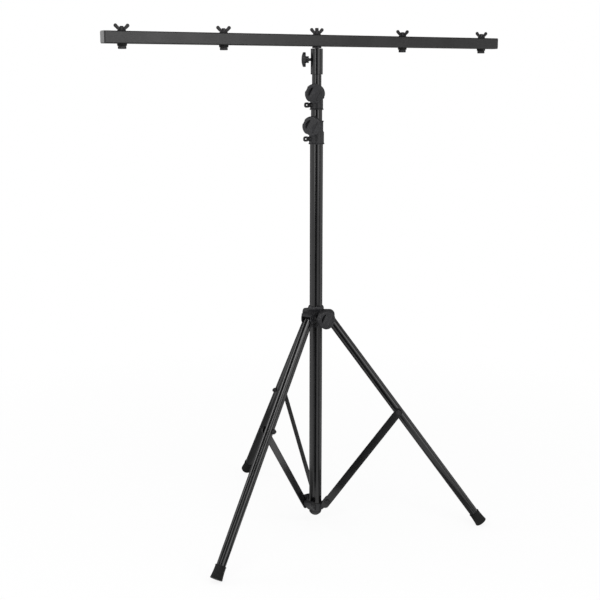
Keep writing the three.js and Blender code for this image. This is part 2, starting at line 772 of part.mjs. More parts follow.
function topSleeve() {
  const bore = topTubeRadius + seatGap;
  const outer = bore + sleeveWall;
  const body = revolved([
    [bore, 0],
    [outer, 0],
    [outer, sleeveHeight - sleeveChamfer],
    [outer - sleeveChamfer, sleeveHeight],
    [bore, sleeveHeight],
    [bore, 0],
  ]);
  const hole = alongX(rod(sleeveStudRadius + holeGap, 0, outer + cutOverrun, smallSteps));
  const turned = hole.rotate([0, 0, THREE.MathUtils.radToDeg(sleeveKnobAzimuth)]);
  return cut(body, turned.translate([0, 0, sleeveHeight - sleeveKnobDrop]));
}

// Domed disc knob along X, with its stud reaching in towards the spigot
function sleeveKnob(tip) {
  const sleeveOuter = topTubeRadius + seatGap + sleeveWall;
  const bossStart = sleeveOuter + sleeveKnobReach;
  const back = bossStart + sleeveKnobBoss;
  const rim = back + sleeveKnobThickness - sleeveKnobDome;
  const profile = [
    [0, tip],
    [sleeveStudRadius, tip],
    [sleeveStudRadius, bossStart],
    [sleeveKnobBossRadius, bossStart],
    [sleeveKnobBossRadius, back],
    ...quarterRound(sleeveKnobRadius - sleeveKnobEdge, back + sleeveKnobEdge, sleeveKnobEdge, -Math.PI / 2),
    ...quarterRound(sleeveKnobRadius - sleeveKnobEdge, rim - sleeveKnobEdge, sleeveKnobEdge, 0),
    [sleeveKnobRadius / 2, rim + sleeveKnobDome * sleeveKnobDomeShare],
    [0, rim + sleeveKnobDome],
  ];
  return alongX(revolved(profile, mediumSteps));
}

function spigot() {
  const radius = topTubeRadius - tubeWall - seatGap;
  const bottom = -spigotLength;
  const flangeBottom = spigotNeck;
  const flangeTop = spigotNeck + spigotFlange;
  const studTop = flangeTop + seatGap + barSize + spigotStudRise;
  const profile = [
    [0, bottom],
    [radius - spigotChamfer, bottom],
    [radius, bottom + spigotChamfer],
    [radius, -runGap],
    [spigotNeckRadius, -runGap],
    [spigotNeckRadius, flangeBottom],
    [spigotFlangeRadius, flangeBottom],
    [spigotFlangeRadius, flangeTop],
    [boltRadius, flangeTop],
    [boltRadius, studTop - spigotChamfer / 2],
    [boltRadius - spigotChamfer / 2, studTop],
    [0, studTop],
  ];
  return revolved(profile, nutSteps);
}

function addMastHead() {
  addPiece(stand, 'top_sleeve', topSleeve(), blackPaint).position.z = topTop - sleeveHeight;
  const knobGroup = outwardGroup(sleeveKnobAzimuth, topTop - sleeveKnobDrop);
  addPiece(knobGroup, 'sleeve_knob', sleeveKnob(topTubeRadius - tubeWall + seatGap / 2), blackPlastic);
  addPiece(stand, 'spigot', spigot(), blackSteel).position.z = topTop;
}

// Cross bar: square tube with a bolt hole at each fixture place

function squareAcross(size, corner) {
  return roundedRectangle(-size / 2, -size / 2, size, size, corner);
}

function boltPlaces() {
  return Array.from({ length: 2 * boltsPerSide + 1 }, (_, index) => (index - boltsPerSide) * boltPitch);
}

function crossBar() {
  const half = barLength / 2 - capThickness;
  const shape = squareAcross(barSize, barCorner);
  shape.holes.push(squareAcross(barSize - 2 * barWall, barCorner - barWall));
  const bar = alongX(slab(shape, -half, half));
  const holes = boltPlaces().map((place) => {
    return rod(boltRadius + holeGap, -barSize, barSize, smallSteps).translate([place, 0, 0]);
  });
  return cut(bar, ...holes);
}

// Push-in cap for the bar's +X end
function endCap() {
  const inner = barLength / 2 - capThickness + seatGap;
  const stemSize = barSize - 2 * barWall - 2 * seatGap;
  const stemShape = squareAcross(stemSize, barCorner - barWall);
  const stem = slab(stemShape, inner - capStem, inner + capThickness / 2, 1);
  const plate = slab(squareAcross(barSize, barCorner), inner, barLength / 2 - capEdge);
  const face = slab(squareAcross(barSize - 2 * capEdge, barCorner), barLength / 2 - capEdge, barLength / 2);
  return alongX(joined(stem, plate, face));
}

function fixtureBolt() {
  const headTop = -barSize / 2 - seatGap - spacerHeight - seatGap;
  const shank = rod(boltRadius, headTop - boltHeadThickness / 2, barSize / 2 + boltRise, smallSteps);
  return joined(shank, hexagon(boltHeadAcross, headTop - boltHeadThickness, headTop));
}

function boltSpacer() {
  const top = -barSize / 2 - seatGap;
  const bore = boltRadius + holeGap;
  const foot = top - spacerHeight;
  const profile = [[bore, foot], [spacerFootRadius, foot], [spacerTopRadius, top], [bore, top], [bore, foot]];
  return revolved(profile, nutSteps);
}

// Wing nut standing on Z = 0, its wings spread along X
function wingNut() {
  const core = revolved([
    [0, 0],
    [nutFlangeRadius, 0],
    [nutFlangeRadius, nutFlange],
    [nutNeckRadius, nutFlange + seatGap],
    [nutCrownRadius, nutHeight],
    [0, nutHeight],
  ], smallSteps);
  const tip = wingSpan / 2 - wingWidth / 2;
  const tipHeight = wingTipHeight - wingWidth / 2;
  const lean = Math.atan2(tipHeight - wingRootHeight, tip - nutNeckRadius * wingRootShare);
  const shape = new THREE.Shape();
  shape.moveTo(0, wingRootHeight - wingWidth / 2);
  shape.lineTo(nutNeckRadius * wingRootShare, wingRootHeight - wingWidth / 2);
  shape.quadraticCurveTo(
    nutNeckRadius,
    wingRootHeight - wingWidth / 2,
    tip + (wingWidth / 2) * Math.sin(lean),
    tipHeight - (wingWidth / 2) * Math.cos(lean),
  );
  shape.absarc(tip, tipHeight, wingWidth / 2, lean - Math.PI / 2, lean + Math.PI / 2);
  shape.quadraticCurveTo(nutCrownRadius, nutHeight, 0, nutHeight - nutFlange);
  const wing = uprightSlab(shape, wingThickness, cornerSteps);
  const bore = rod(boltRadius + holeGap, -cutOverrun, wingTipHeight + cutOverrun, smallSteps);
  return cut(joined(core, wing, wing.rotate([0, 0, 180])), bore);
}

function addCrossBar() {
  const bar = new THREE.Group();
  bar.position.z = (barBottom + barTop) / 2;
  stand.add(bar);
  addPiece(bar, 't_bar', crossBar(), barPaint);
  addPiece(bar, 'end_cap_right', endCap(), greyPlastic);
  addPiece(bar, 'end_cap_left', endCap(), greyPlastic).rotation.z = Math.PI;
  let outer = 0;
  for (const place of boltPlaces()) {
    const number = place === 0 ? 'centre' : String((outer += 1));
    if (place !== 0) {
      addPiece(bar, `fixture_bolt_${number}`, fixtureBolt(), blackSteel).position.x = place;
      addPiece(bar, `bolt_spacer_${number}`, boltSpacer(), blackRubber).position.x = place;
    }
    addPiece(bar, `wing_nut_${number}`, wingNut(), blackSteel).position.set(place, 0, barSize / 2 + seatGap);
  }
}

addMast();
addLockCollars();
addPiece(stand, 'brace_collar', braceCollar(), blackPlastic).position.z = collarPivotHeight;
addHub();
addLegs();
addMastHead();
addCrossBar();

// The origin is the middle of the stand's footprint, on the floor
const bounds = new THREE.Box3().setFromObject(stand, true);
const middle = bounds.getCenter(new THREE.Vector3());
stand.position.set(-middle.x, -middle.y, -bounds.min.z);

export default stand;
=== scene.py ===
"""Looks of the lighting stand: coated tube, moulded plastic, rubber and blackened steel."""

import json
import math

import bmesh
import bpy
from mathutils import Matrix, Vector


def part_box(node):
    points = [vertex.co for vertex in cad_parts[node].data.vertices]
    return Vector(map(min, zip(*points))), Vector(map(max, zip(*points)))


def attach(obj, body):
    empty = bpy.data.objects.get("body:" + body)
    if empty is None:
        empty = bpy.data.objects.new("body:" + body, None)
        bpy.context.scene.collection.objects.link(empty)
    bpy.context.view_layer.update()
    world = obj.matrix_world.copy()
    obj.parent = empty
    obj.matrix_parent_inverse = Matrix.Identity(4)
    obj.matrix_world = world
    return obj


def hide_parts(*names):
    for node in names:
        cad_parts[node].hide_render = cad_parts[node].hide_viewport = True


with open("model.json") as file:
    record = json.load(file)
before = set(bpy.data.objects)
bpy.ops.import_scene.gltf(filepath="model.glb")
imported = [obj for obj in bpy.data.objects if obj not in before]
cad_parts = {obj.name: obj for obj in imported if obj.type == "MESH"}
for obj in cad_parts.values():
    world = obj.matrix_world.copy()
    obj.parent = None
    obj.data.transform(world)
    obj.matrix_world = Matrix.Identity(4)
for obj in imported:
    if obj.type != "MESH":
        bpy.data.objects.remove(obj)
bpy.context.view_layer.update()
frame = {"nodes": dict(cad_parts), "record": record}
record = frame["record"]
nodes = frame["nodes"]
body_of_node = {n: body for body, members in record["behaviour"]["bodies"].items() for n in members}
slot_of_node = {part["node"]: part["material_slot"] for part in record["subparts"]}

# Sizes are in millimetres and degrees, and a mesh is made in metres
MM = 0.001
FLAT_ANGLE, SHARP_ANGLE, SHADING_ANGLE = math.radians(0.3), math.radians(32), math.radians(34)

# Sides of a full circle, and steps of a quarter
ROUND, SMALL_ROUND, NUT_ROUND, NECK_ROUND, BOSS_ROUND = 72, 32, 36, 40, 48
TURNED_ROUND, LEG_ROUND, KNOB_ROUND = 56, 64, 144
QUARTER = 5

# Clearances, how far a cutter runs past a face, and how far a stud sinks into its head
BOLT_GAP, RUN_GAP = 0.3, 0.5
OVERRUN, SINK = 4, 3

BASE_RADIUS, MIDDLE_RADIUS, TOP_RADIUS, SLEEVE_RADIUS = 17.5, 15.0, 12.5, 16.0
TUBE_WALL = 1.2
LEG_RADIUS, LEG_LENGTH, LEG_ANGLE, FOOT_SOLE = 12.5, 738.0, 36.4, 5.0
LEG_AZIMUTHS = (88.6, 208.6, 328.6)
LINK_LENGTH, PIVOT_RADIUS, BRACE_THICKNESS = 333.207, 34.0, 3.0
FORK_WALL, FORK_BOSS = 2.8, 1.0
LINK_BOLT_RADIUS, LINK_HEX, LINK_HEAD, LINK_NUT, LINK_TAIL = 4.0, 13.0, 5.0, 5.5, 2.6
LINK_BORE = LINK_BOLT_RADIUS + BOLT_GAP
PIN_PITCH, PIN_HOLES, PIN_RADIUS, PIN_BOSS_RADIUS, PIN_BOSS_REACH = 160.0, 5, 3.0, 6.5, 4.0
PIN_BORE = PIN_RADIUS + BOLT_GAP
LOWER_TURN, UPPER_TURN, PIN_AZIMUTH, HEAD_AZIMUTH, HUB_KNOB_AZIMUTH = -133.0, -125.0, 180.0, 151.3, -90.0
KNOB_RADIUS, KNOB_THICKNESS, KNOB_NECK, GRIP_CHORD, GRIP_TURN = 26.0, 16.0, 9.0, 10.5, 63.0
LOCK_BOSS_REACH, HUB_BOSS_REACH, CLAMP_PAD = 30.0, 38.0, 6.0
STUD_RADIUS, HEAD_BORE = 5.0, 4.3
STUD_BORE = STUD_RADIUS + BOLT_GAP
BAR_LENGTH, BAR_SIZE, BAR_WALL, BAR_CORNER, CAP_PLATE = 1180.0, 30.0, 1.5, 3.0, 4.0
BOLT_PITCH, BOLT_RADIUS, SPACER_HEIGHT = 269.984, 5.0, 5.3
BOLT_BORE, BOLT_CORE = BOLT_RADIUS + BOLT_GAP, BOLT_RADIUS - BOLT_GAP
BOLT_THREAD, BOLT_RIDGE = (4.68, 1.5), 0.36


def millimetres(node):
    low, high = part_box(node)
    return low / MM, high / MM


def middle_height(node):
    low, high = millimetres(node)
    return (low.z + high.z) / 2


mast_low, mast_high = millimetres("base_tube")
MAST_Y = (mast_low.y + mast_high.y) / 2
HUB_HEIGHT, COLLAR_HEIGHT = middle_height("leg_pivot_bolt_1"), middle_height("collar_bolt_1")
LOWER_PIN, UPPER_PIN = middle_height("lower_safety_pin"), middle_height("upper_safety_pin")
LOWER_LOCK, UPPER_LOCK = middle_height("lower_clamp_pad"), middle_height("upper_clamp_pad")
HEAD_KNOB = middle_height("sleeve_knob")
BAR_HEIGHT = middle_height("t_bar")


# Placing: each piece is made round its own origin and its mesh is then moved to where it belongs

def turn(axis, degrees):
    return Matrix.Rotation(math.radians(degrees), 4, axis)


def move(x=0.0, y=0.0, z=0.0):
    return Matrix.Translation(Vector((x, y, z)) * MM)


def outward(azimuth, height, reach=0.0):
    return move(0, MAST_Y, height) @ turn("Z", azimuth) @ move(reach, 0, 0)


AT_MAST = move(0, MAST_Y, 0)
ALONG_X = turn("Y", 90)
ALONG_Y = turn("X", -90)
UPRIGHT = turn("X", 90)


def leg_place(azimuth):
    return outward(azimuth, HUB_HEIGHT, PIVOT_RADIUS) @ turn("Y", -LEG_ANGLE)


# Making meshes

def mesh_of(build):
    made = bmesh.new()
    build(made)
    bmesh.ops.dissolve_limit(made, angle_limit=FLAT_ANGLE, verts=made.verts, edges=made.edges)
    bmesh.ops.recalc_face_normals(made, faces=made.faces)
    mesh = bpy.data.meshes.new("made")
    made.to_mesh(mesh)
    made.free()
    return mesh


def lathe(profile, steps=ROUND, dent=None):
    """A solid of revolution about Z from (radius, height) points; it closes on the axis or on itself.

    A dent says how far the outermost part, the rim, is pressed in at each angle.
    """
    turns = [math.tau * step / steps for step in range(steps)]
    rim = 0.75 * max(radius for radius, height in profile)

    def reach(radius, angle):
        return radius - dent(angle) if dent and radius > rim else radius

    def build(made):
        rings = []
        for radius, height in profile:
            angles = turns if radius else turns[:1]
            spots = [(reach(radius, a) * math.cos(a), reach(radius, a) * math.sin(a)) for a in angles]
            rings.append([made.verts.new((x * MM, y * MM, height * MM)) for x, y in spots])
        pairs = list(zip(rings, rings[1:]))
        if profile[0][0] > 0:
            pairs.append((rings[-1], rings[0]))
        for low, high in pairs:
            for step in range(steps):
                after = (step + 1) % steps
                below = [low[step % len(low)], low[after % len(low)]]
                above = [high[after % len(high)], high[step % len(high)]]
                made.faces.new(list(dict.fromkeys(below + above)))

    return mesh_of(build)


def flutes(radius, count, hollow, depth):
    """How far evenly spaced round hollows press in the rim of a disc at each angle."""
    pitch, centre = math.tau / count, radius + hollow - depth

    def dent(angle):
        nearest = (angle + pitch / 2) % pitch - pitch / 2
        beside = centre * math.sin(nearest)
        if abs(beside) >= hollow:
            return 0.0
        return max(0.0, radius - centre * math.cos(nearest) + math.sqrt(hollow ** 2 - beside ** 2))

    return dent


def rod(radius, low, high, steps=SMALL_ROUND):
    return lathe([(0, low), (radius, low), (radius, high), (0, high)], steps)


def pipe(outer, inner, low, high, steps=ROUND):
    return lathe([(inner, low), (outer, low), (outer, high), (inner, high)], steps)


def hexagon(across, low, high, chamfer=0.9):
    """A hexagon with its corners turned off at both faces."""
    corner, flat = across / math.sqrt(3), across / 2 - chamfer / 4
    cone = lathe([
        (0, low), (flat, low), (corner, low + chamfer), (corner, high - chamfer), (flat, high), (0, high),
    ], NUT_ROUND)
    return joined(rod(corner, low, high, 6), keep=[cone])


def stacked(layers):
    """A solid through flat outlines in X and Y with as many points each, from (outline, height) pairs."""
    def build(made):
        rings = []
        for outline, height in layers:
            rings.append([made.verts.new((x * MM, y * MM, height * MM)) for x, y in outline])
        made.faces.new(rings[0][::-1])
        made.faces.new(rings[-1])
        for low, high in zip(rings, rings[1:]):
            for step in range(len(low)):
                after = (step + 1) % len(low)
                made.faces.new([low[step], low[after], high[after], high[step]])

    return mesh_of(build)


def prism(outline, low, high):
    return stacked([(outline, low), (outline, high)])


def block_below():
    """A block that fills what lies below Z = 0, to cut a piece off flat."""
    size = 60
    return prism([(-size, -size), (size, -size), (size, size), (-size, size)], -size, 0)


def upright(outline, thickness):
    """A flat outline in X and Z, as thick as given and centred on Y = 0."""
    return placed(prism(outline, -thickness / 2, thickness / 2), UPRIGHT)


def closed_bar(path, section):
    """A bar of the given section that follows a closed path in X and Z."""
    def build(made):
        rings = []
        for step, (x, z) in enumerate(path):
            before, after = Vector(path[step - 1]), Vector(path[(step + 1) % len(path)])
            run = (after - before).normalized()
            spots = [(x + run.y * out, y, z - run.x * out) for out, y in section]
            rings.append([made.verts.new([length * MM for length in spot]) for spot in spots])
        for low, high in zip(rings, rings[1:] + rings[:1]):
            for step in range(len(section)):
                after = (step + 1) % len(section)
                made.faces.new([low[step], low[after], high[after], high[step]])

    return mesh_of(build)


def arc(x, y, radius, start, end, steps=QUARTER):
    angles = [math.radians(start + (end - start) * step / steps) for step in range(steps + 1)]
    return [(x + radius * math.cos(a), y + radius * math.sin(a)) for a in angles]


def rounded_box(left, bottom, width, height, corner):
    right, top = left + width, bottom + height
    return (
        arc(right - corner, top - corner, corner, 0, 90)
        + arc(left + corner, top - corner, corner, 90, 180)
        + arc(left + corner, bottom + corner, corner, 180, 270)
        + arc(right - corner, bottom + corner, corner, 270, 360)
    )


def square(size, corner):
    return rounded_box(-size / 2, -size / 2, size, size, corner)


def bend(start, pull, end, steps=QUARTER):
    """Points of a curve from start to end, drawn towards pull."""
    shares = [step / steps for step in range(steps + 1)]
    return [tuple(
        (1 - t) ** 2 * a + 2 * t * (1 - t) * b + t ** 2 * c for a, b, c in zip(start, pull, end)
    ) for t in shares]


def placed(mesh, *matrices):
    copy = mesh.copy()
    for matrix in reversed(matrices):
        copy.transform(matrix)
    return copy


def sideways(mesh, azimuth, height=0.0):
    """A solid along Z, laid down to point away from the mast's axis."""
    return placed(mesh, move(z=height), turn("Z", azimuth), ALONG_X)


def linked(name, data):
    item = bpy.data.objects.new(name, data)
    bpy.context.scene.collection.objects.link(item)
    return item


def temporary(mesh):
    return linked("temporary", mesh)


def evaluated(item, *tools):
    """The mesh that a temporary object's modifiers make. The object and its tools are then removed."""
    view = bpy.context.evaluated_depsgraph_get()
    view.update()
    mesh = bpy.data.meshes.new_from_object(item.evaluated_get(view))
    for other in (item, *tools):
        bpy.data.objects.remove(other)
    return mesh


def joined(body, add=(), cut=(), keep=()):
    """The body with solids added, then solids cut away, then only what lies inside the kept ones."""
    item = temporary(body)
    tools = []
    for kind, meshes in (("UNION", add), ("DIFFERENCE", cut), ("INTERSECT", keep)):
        for mesh in meshes:
            tool = temporary(mesh)
            tools.append(tool)
            step = item.modifiers.new("step", "BOOLEAN")
            step.operation = kind
            step.solver = "MANIFOLD"
            step.object = tool
    return evaluated(item, *tools)


def softened(mesh, width, segments=2):
    """The mesh with its sharp edges rounded off."""
    made = bmesh.new()
    made.from_mesh(mesh)
    bmesh.ops.remove_doubles(made, verts=made.verts, dist=0.01 * MM)
    bmesh.ops.dissolve_limit(made, angle_limit=FLAT_ANGLE, verts=made.verts, edges=made.edges)
    made.to_mesh(mesh)
    made.free()
    item = temporary(mesh)
    edge = item.modifiers.new("edge", "BEVEL")
    edge.width = width * MM
    edge.segments = segments
    edge.limit_method = "ANGLE"
    edge.angle_limit = SHARP_ANGLE
    edge.miter_outer = "MITER_ARC"
    edge.use_clamp_overlap = True
    return evaluated(item)


# Growth by rule: threads, and what repeats along the bar

def fill(tree, node, inputs):
    """Links a node's inputs to sockets, or sets them to values."""
    for title, source in inputs.items():
        if hasattr(source, "links"):
            tree.links.new(source, node.inputs[title])
        else:
            node.inputs[title].default_value = source
    return node


def added(tree, kind, inputs):
    return fill(tree, tree.nodes.new(kind), inputs)


def math_node(tree, operation, *sources):
    node = added(tree, "ShaderNodeMath", dict(enumerate(sources)))
    node.operation = operation
    return node.outputs[0]


def field_tree(name, inputs):
    tree = bpy.data.node_groups.new(name, "GeometryNodeTree")
    sockets = {}
    for title, kind in inputs:
        sockets[title] = tree.interface.new_socket(title, in_out="INPUT", socket_type=kind).identifier
    tree.interface.new_socket("Geometry", in_out="OUTPUT", socket_type="NodeSocketGeometry")
    return tree, sockets, tree.nodes.new("NodeGroupInput"), tree.nodes.new("NodeGroupOutput")


def finish_tree(tree, geometry, material, output):
    realize = added(tree, "GeometryNodeRealizeInstances", {"Geometry": geometry})
    paint = added(tree, "GeometryNodeSetMaterial", {
        "Geometry": realize.outputs["Geometry"], "Material": material,
    })
    fill(tree, output, {"Geometry": paint.outputs["Geometry"]})


def thread_tree():
    """A ridge that winds up a stud."""
    tree, sockets, given, output = field_tree("stud_thread", [
        ("Radius", "NodeSocketFloat"), ("Pitch", "NodeSocketFloat"), ("Length", "NodeSocketFloat"),
        ("Ridge", "NodeSocketFloat"), ("Material", "NodeSocketMaterial"),
    ])
    radius, length = given.outputs["Radius"], given.outputs["Length"]
    spiral = added(tree, "GeometryNodeCurveSpiral", {
        "Resolution": 20, "Rotations": math_node(tree, "DIVIDE", length, given.outputs["Pitch"]),
        "Start Radius": radius, "End Radius": radius, "Height": length,
    })
    ridge = added(tree, "GeometryNodeCurvePrimitiveCircle", {
        "Resolution": 4, "Radius": given.outputs["Ridge"],
    })
    sweep = added(tree, "GeometryNodeCurveToMesh", {
        "Curve": spiral.outputs["Curve"], "Profile Curve": ridge.outputs["Curve"], "Fill Caps": True,
    })
    finish_tree(tree, sweep.outputs["Mesh"], given.outputs["Material"], output)
    return tree, sockets


def row_tree():
    """Copies of one part at even places on both sides of the bar's middle."""
    tree, sockets, given, output = field_tree("row_on_bar", [
        ("Part", "NodeSocketObject"), ("Pitch", "NodeSocketFloat"), ("Count", "NodeSocketInt"),
        ("Material", "NodeSocketMaterial"),
    ])
    part = added(tree, "GeometryNodeObjectInfo", {"Object": given.outputs["Part"]})
    both = tree.nodes.new("GeometryNodeJoinGeometry")
    for side in (-1, 1):
        reach = math_node(tree, "MULTIPLY", given.outputs["Pitch"], side)
        place = added(tree, "ShaderNodeCombineXYZ", {"X": reach}).outputs[0]
        line = added(tree, "GeometryNodeMeshLine", {
            "Count": given.outputs["Count"], "Start Location": place, "Offset": place,
        })
        copies = added(tree, "GeometryNodeInstanceOnPoints", {
            "Points": line.outputs["Mesh"], "Instance": part.outputs["Geometry"],
        })
        tree.links.new(copies.outputs["Instances"], both.inputs["Geometry"])
    finish_tree(tree, both.outputs["Geometry"], given.outputs["Material"], output)
    return tree, sockets


def grown(tree_and_sockets, values):
    """Runs a tree with its named inputs set and gives back a plain mesh."""
    tree, sockets = tree_and_sockets
    item = temporary(bpy.data.meshes.new("seed"))
    grow = item.modifiers.new("grow", "NODES")
    grow.node_group = tree
    for title, value in values.items():
        grow[sockets[title]] = value
    return evaluated(item)


# Shader groups: grain, handling marks and dust, each used by several finishes

def shader_group(name, inputs, outputs):
    tree = bpy.data.node_groups.new(name, "ShaderNodeTree")
    for title, value in inputs.items():
        socket = tree.interface.new_socket(title, in_out="INPUT", socket_type="NodeSocketFloat")
        socket.default_value = value
    for title in outputs:
        tree.interface.new_socket(title, in_out="OUTPUT", socket_type="NodeSocketFloat")
    return tree, tree.nodes.new("NodeGroupInput"), tree.nodes.new("NodeGroupOutput")


def noise(tree, scale, detail, roughness=0.55):
    where = tree.nodes.new("ShaderNodeTexCoord")
    return added(tree, "ShaderNodeTexNoise", {
        "Vector": where.outputs["Object"], "Scale": scale, "Detail": detail, "Roughness": roughness,
    }).outputs["Fac"]


def scaled(tree, source, low, high, to_low, to_high):
    return added(tree, "ShaderNodeMapRange", {
        "Value": source, "From Min": low, "From Max": high, "To Min": to_low, "To Max": to_high,
    }).outputs["Result"]


def grain_group():
    """Fine surface texture: a height for bump, and a slow and a fast tone."""
    tree, given, output = shader_group(
        "surface_grain", {"Fine Scale": 900.0, "Slow Scale": 14.0}, ["Height", "Fine Tone", "Slow Tone"])
    fine = noise(tree, given.outputs["Fine Scale"], 2.0)
    slow = noise(tree, given.outputs["Slow Scale"], 4.0)
    fill(tree, output, {
        "Height": fine, "Fine Tone": scaled(tree, fine, 0.3, 0.7, 0.0, 1.0),
        "Slow Tone": scaled(tree, slow, 0.35, 0.65, 0.0, 1.0),
    })
    return tree


def rub_group():
    """Where corners have been handled: edges found by rounding the normal, broken up by noise."""
    tree, given, output = shader_group("rubbed_edges", {"Radius": 0.0008, "Amount": 0.5}, ["Mask"])
    rounded = added(tree, "ShaderNodeBevel", {"Radius": given.outputs["Radius"]})
    rounded.samples = 4
    true = tree.nodes.new("ShaderNodeNewGeometry")
    closeness = tree.nodes.new("ShaderNodeVectorMath")
    closeness.operation = "DOT_PRODUCT"
    fill(tree, closeness, {0: rounded.outputs["Normal"], 1: true.outputs["Normal"]})
    edge = scaled(tree, closeness.outputs["Value"], 0.985, 0.86, 0.0, 1.0)
    broken = scaled(tree, noise(tree, 160.0, 5.0, 0.65), 0.46, 0.62, 0.0, given.outputs["Amount"])
    fill(tree, output, {"Mask": math_node(tree, "MULTIPLY", edge, broken)})
    return tree


def dust_group():
    """Thin dust that lies on faces that look up."""
    tree, given, output = shader_group("settled_dust", {"Amount": 0.1}, ["Mask"])
    true = tree.nodes.new("ShaderNodeNewGeometry")
    parts = added(tree, "ShaderNodeSeparateXYZ", {"Vector": true.outputs["Normal"]})
    facing = scaled(tree, parts.outputs["Z"], 0.35, 1.0, 0.0, 1.0)
    spread = scaled(tree, noise(tree, 240.0, 6.0, 0.7), 0.42, 0.7, 0.0, given.outputs["Amount"])
    fill(tree, output, {"Mask": math_node(tree, "MULTIPLY", facing, spread)})
    return tree


GRAIN, RUB, DUST = grain_group(), rub_group(), dust_group()


def placed_group(tree, group, values):
    node = tree.nodes.new("ShaderNodeGroup")
    node.node_tree = group
    return fill(tree, node, values)


def mixed(tree, mask, first, second):
    """A colour between two, by a mask. Each is a colour or a socket."""
    blend = tree.nodes.new("ShaderNodeMix")
    blend.data_type = "RGBA"
    first, second = [tone if hasattr(tone, "links") else (*tone, 1.0) for tone in (first, second)]
    return fill(tree, blend, {"Factor": mask, 6: first, 7: second}).outputs[2]


def end_face(tree):
    """1 on the flat faces at both ends of the bar."""
    where = tree.nodes.new("ShaderNodeTexCoord")
    parts = added(tree, "ShaderNodeSeparateXYZ", {"Vector": where.outputs["Object"]})
    reach = math_node(tree, "ABSOLUTE", parts.outputs["X"])
    end = BAR_LENGTH / 2
    return scaled(tree, reach, (end - 0.5) * MM, (end - 0.2) * MM, 0.0, 1.0)


def blank_material(name):
    material = bpy.data.materials.new(name)
    material.use_nodes = True
    return material, material.node_tree


def finish_material(name, dark, light, worn, roughness, grain, bump, metallic=0.0, rub=0.3, dust=0.06,
                    specular=0.5, smear=0.08, rim=None):
    """A solid finish: two close tones, worn edges, thin dust, and roughness and bump that follow the grain.

    A rim is the colour that is left round the two end faces of the bar: the caps' own dark plastic, while
    the two tones left on the end faces are a painted reflection.
    """
    material, tree = blank_material(name)
    texture = placed_group(tree, GRAIN, {"Fine Scale": grain, "Slow Scale": 14.0})
    edges = placed_group(tree, RUB, {"Radius": 0.0007, "Amount": rub})
    settled = placed_group(tree, DUST, {"Amount": dust})
    tone = mixed(tree, texture.outputs["Slow Tone"], dark, light)
    # On the end caps the tones stay only on the end faces as a painted reflection, and the rim is the caps'
    # own dark plastic
    if rim:
        tone = mixed(tree, end_face(tree), rim, tone)
    rubbed = mixed(tree, edges.outputs["Mask"], tone, worn)
    dusty = mixed(tree, settled.outputs["Mask"], rubbed, DUST_TONE)
    half = smear / 2
    plain = scaled(tree, texture.outputs["Fine Tone"], 0.0, 1.0, roughness - half, roughness + half)
    slow = scaled(tree, texture.outputs["Slow Tone"], 0.0, 1.0, -half, half)
    total = math_node(tree, "ADD", plain, slow)
    total.node.use_clamp = True
    relief = added(tree, "ShaderNodeBump", {
        "Strength": 1.0, "Distance": bump * MM, "Height": texture.outputs["Height"],
    })
    fill(tree, tree.nodes["Principled BSDF"], {
        "Base Color": dusty, "Roughness": total, "Normal": relief.outputs["Normal"], "Metallic": metallic,
        "Specular IOR Level": specular,
    })
    return material


DUST_TONE = (0.32, 0.31, 0.3)
FINISHES = {
    "black_paint": finish_material(
        "gloss_black_coating", (0.0035, 0.0035, 0.0038), (0.0055, 0.0055, 0.006), (0.05, 0.05, 0.05),
        roughness=0.17, grain=420.0, bump=0.004, rub=0.35, dust=0.02, smear=0.06),
    "bar_paint": finish_material(
        "satin_black_coating", (0.008, 0.0078, 0.008), (0.012, 0.0117, 0.012), (0.07, 0.07, 0.07),
        roughness=0.36, grain=700.0, bump=0.006, rub=0.3, dust=0.03),
    "black_steel": finish_material(
        "blackened_steel", (0.010, 0.010, 0.011), (0.022, 0.021, 0.022), (0.16, 0.16, 0.16),
        roughness=0.42, grain=1400.0, bump=0.01, metallic=0.25, rub=0.5, dust=0.03, specular=0.35),
    "black_plastic": finish_material(
        "moulded_black_plastic", (0.010, 0.010, 0.0115), (0.016, 0.016, 0.018), (0.05, 0.05, 0.052),
        roughness=0.46, grain=2200.0, bump=0.012, rub=0.25, dust=0.04, smear=0.1, specular=0.4),
    # Painted reflection: these grey tones show only on the caps' end faces and stand in for a lamp's
    # reflection; the rim colour is the caps' own black
    "grey_plastic": finish_material(
        "black_cap_plastic_painted_end_reflection", (0.14, 0.14, 0.14), (0.17, 0.17, 0.17), (0.24, 0.24, 0.24),
        roughness=0.5, grain=2200.0, bump=0.012, rub=0.0, dust=0.05, rim=(0.012, 0.012, 0.012)),
    "black_rubber": finish_material(
        "black_rubber", (0.004, 0.004, 0.004), (0.008, 0.008, 0.0077), (0.04, 0.04, 0.04),
        roughness=0.7, grain=1200.0, bump=0.02, rub=0.25, dust=0.06, specular=0.2),
    "brass": finish_material(
        "turned_brass", (0.50, 0.34, 0.12), (0.60, 0.42, 0.16), (0.75, 0.6, 0.3),
        roughness=0.35, grain=1600.0, bump=0.01, metallic=1.0, rub=0.3, dust=0.02),
}


# Putting a piece in the scene

def shaded(mesh, slot):
    """The mesh in its finish, smooth but for sharp edges, with flat faces that stay flat."""
    mesh.materials.clear()
    mesh.materials.append(FINISHES[slot])
    mesh.polygons.foreach_set("use_smooth", [True] * len(mesh.polygons))
    mesh.set_sharp_from_angle(angle=SHADING_ANGLE)
    item = temporary(mesh)
    item.modifiers.new("weigh", "WEIGHTED_NORMAL").keep_sharp = True
    return evaluated(item)


def add_piece(name, mesh, stands_for):
    """A finished piece that stands for some CAD nodes of one body and takes their finish."""
    first = stands_for[0]
    item = linked(name, shaded(mesh, slot_of_node[first]))
    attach(item, body_of_node[first])
    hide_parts(*stands_for)


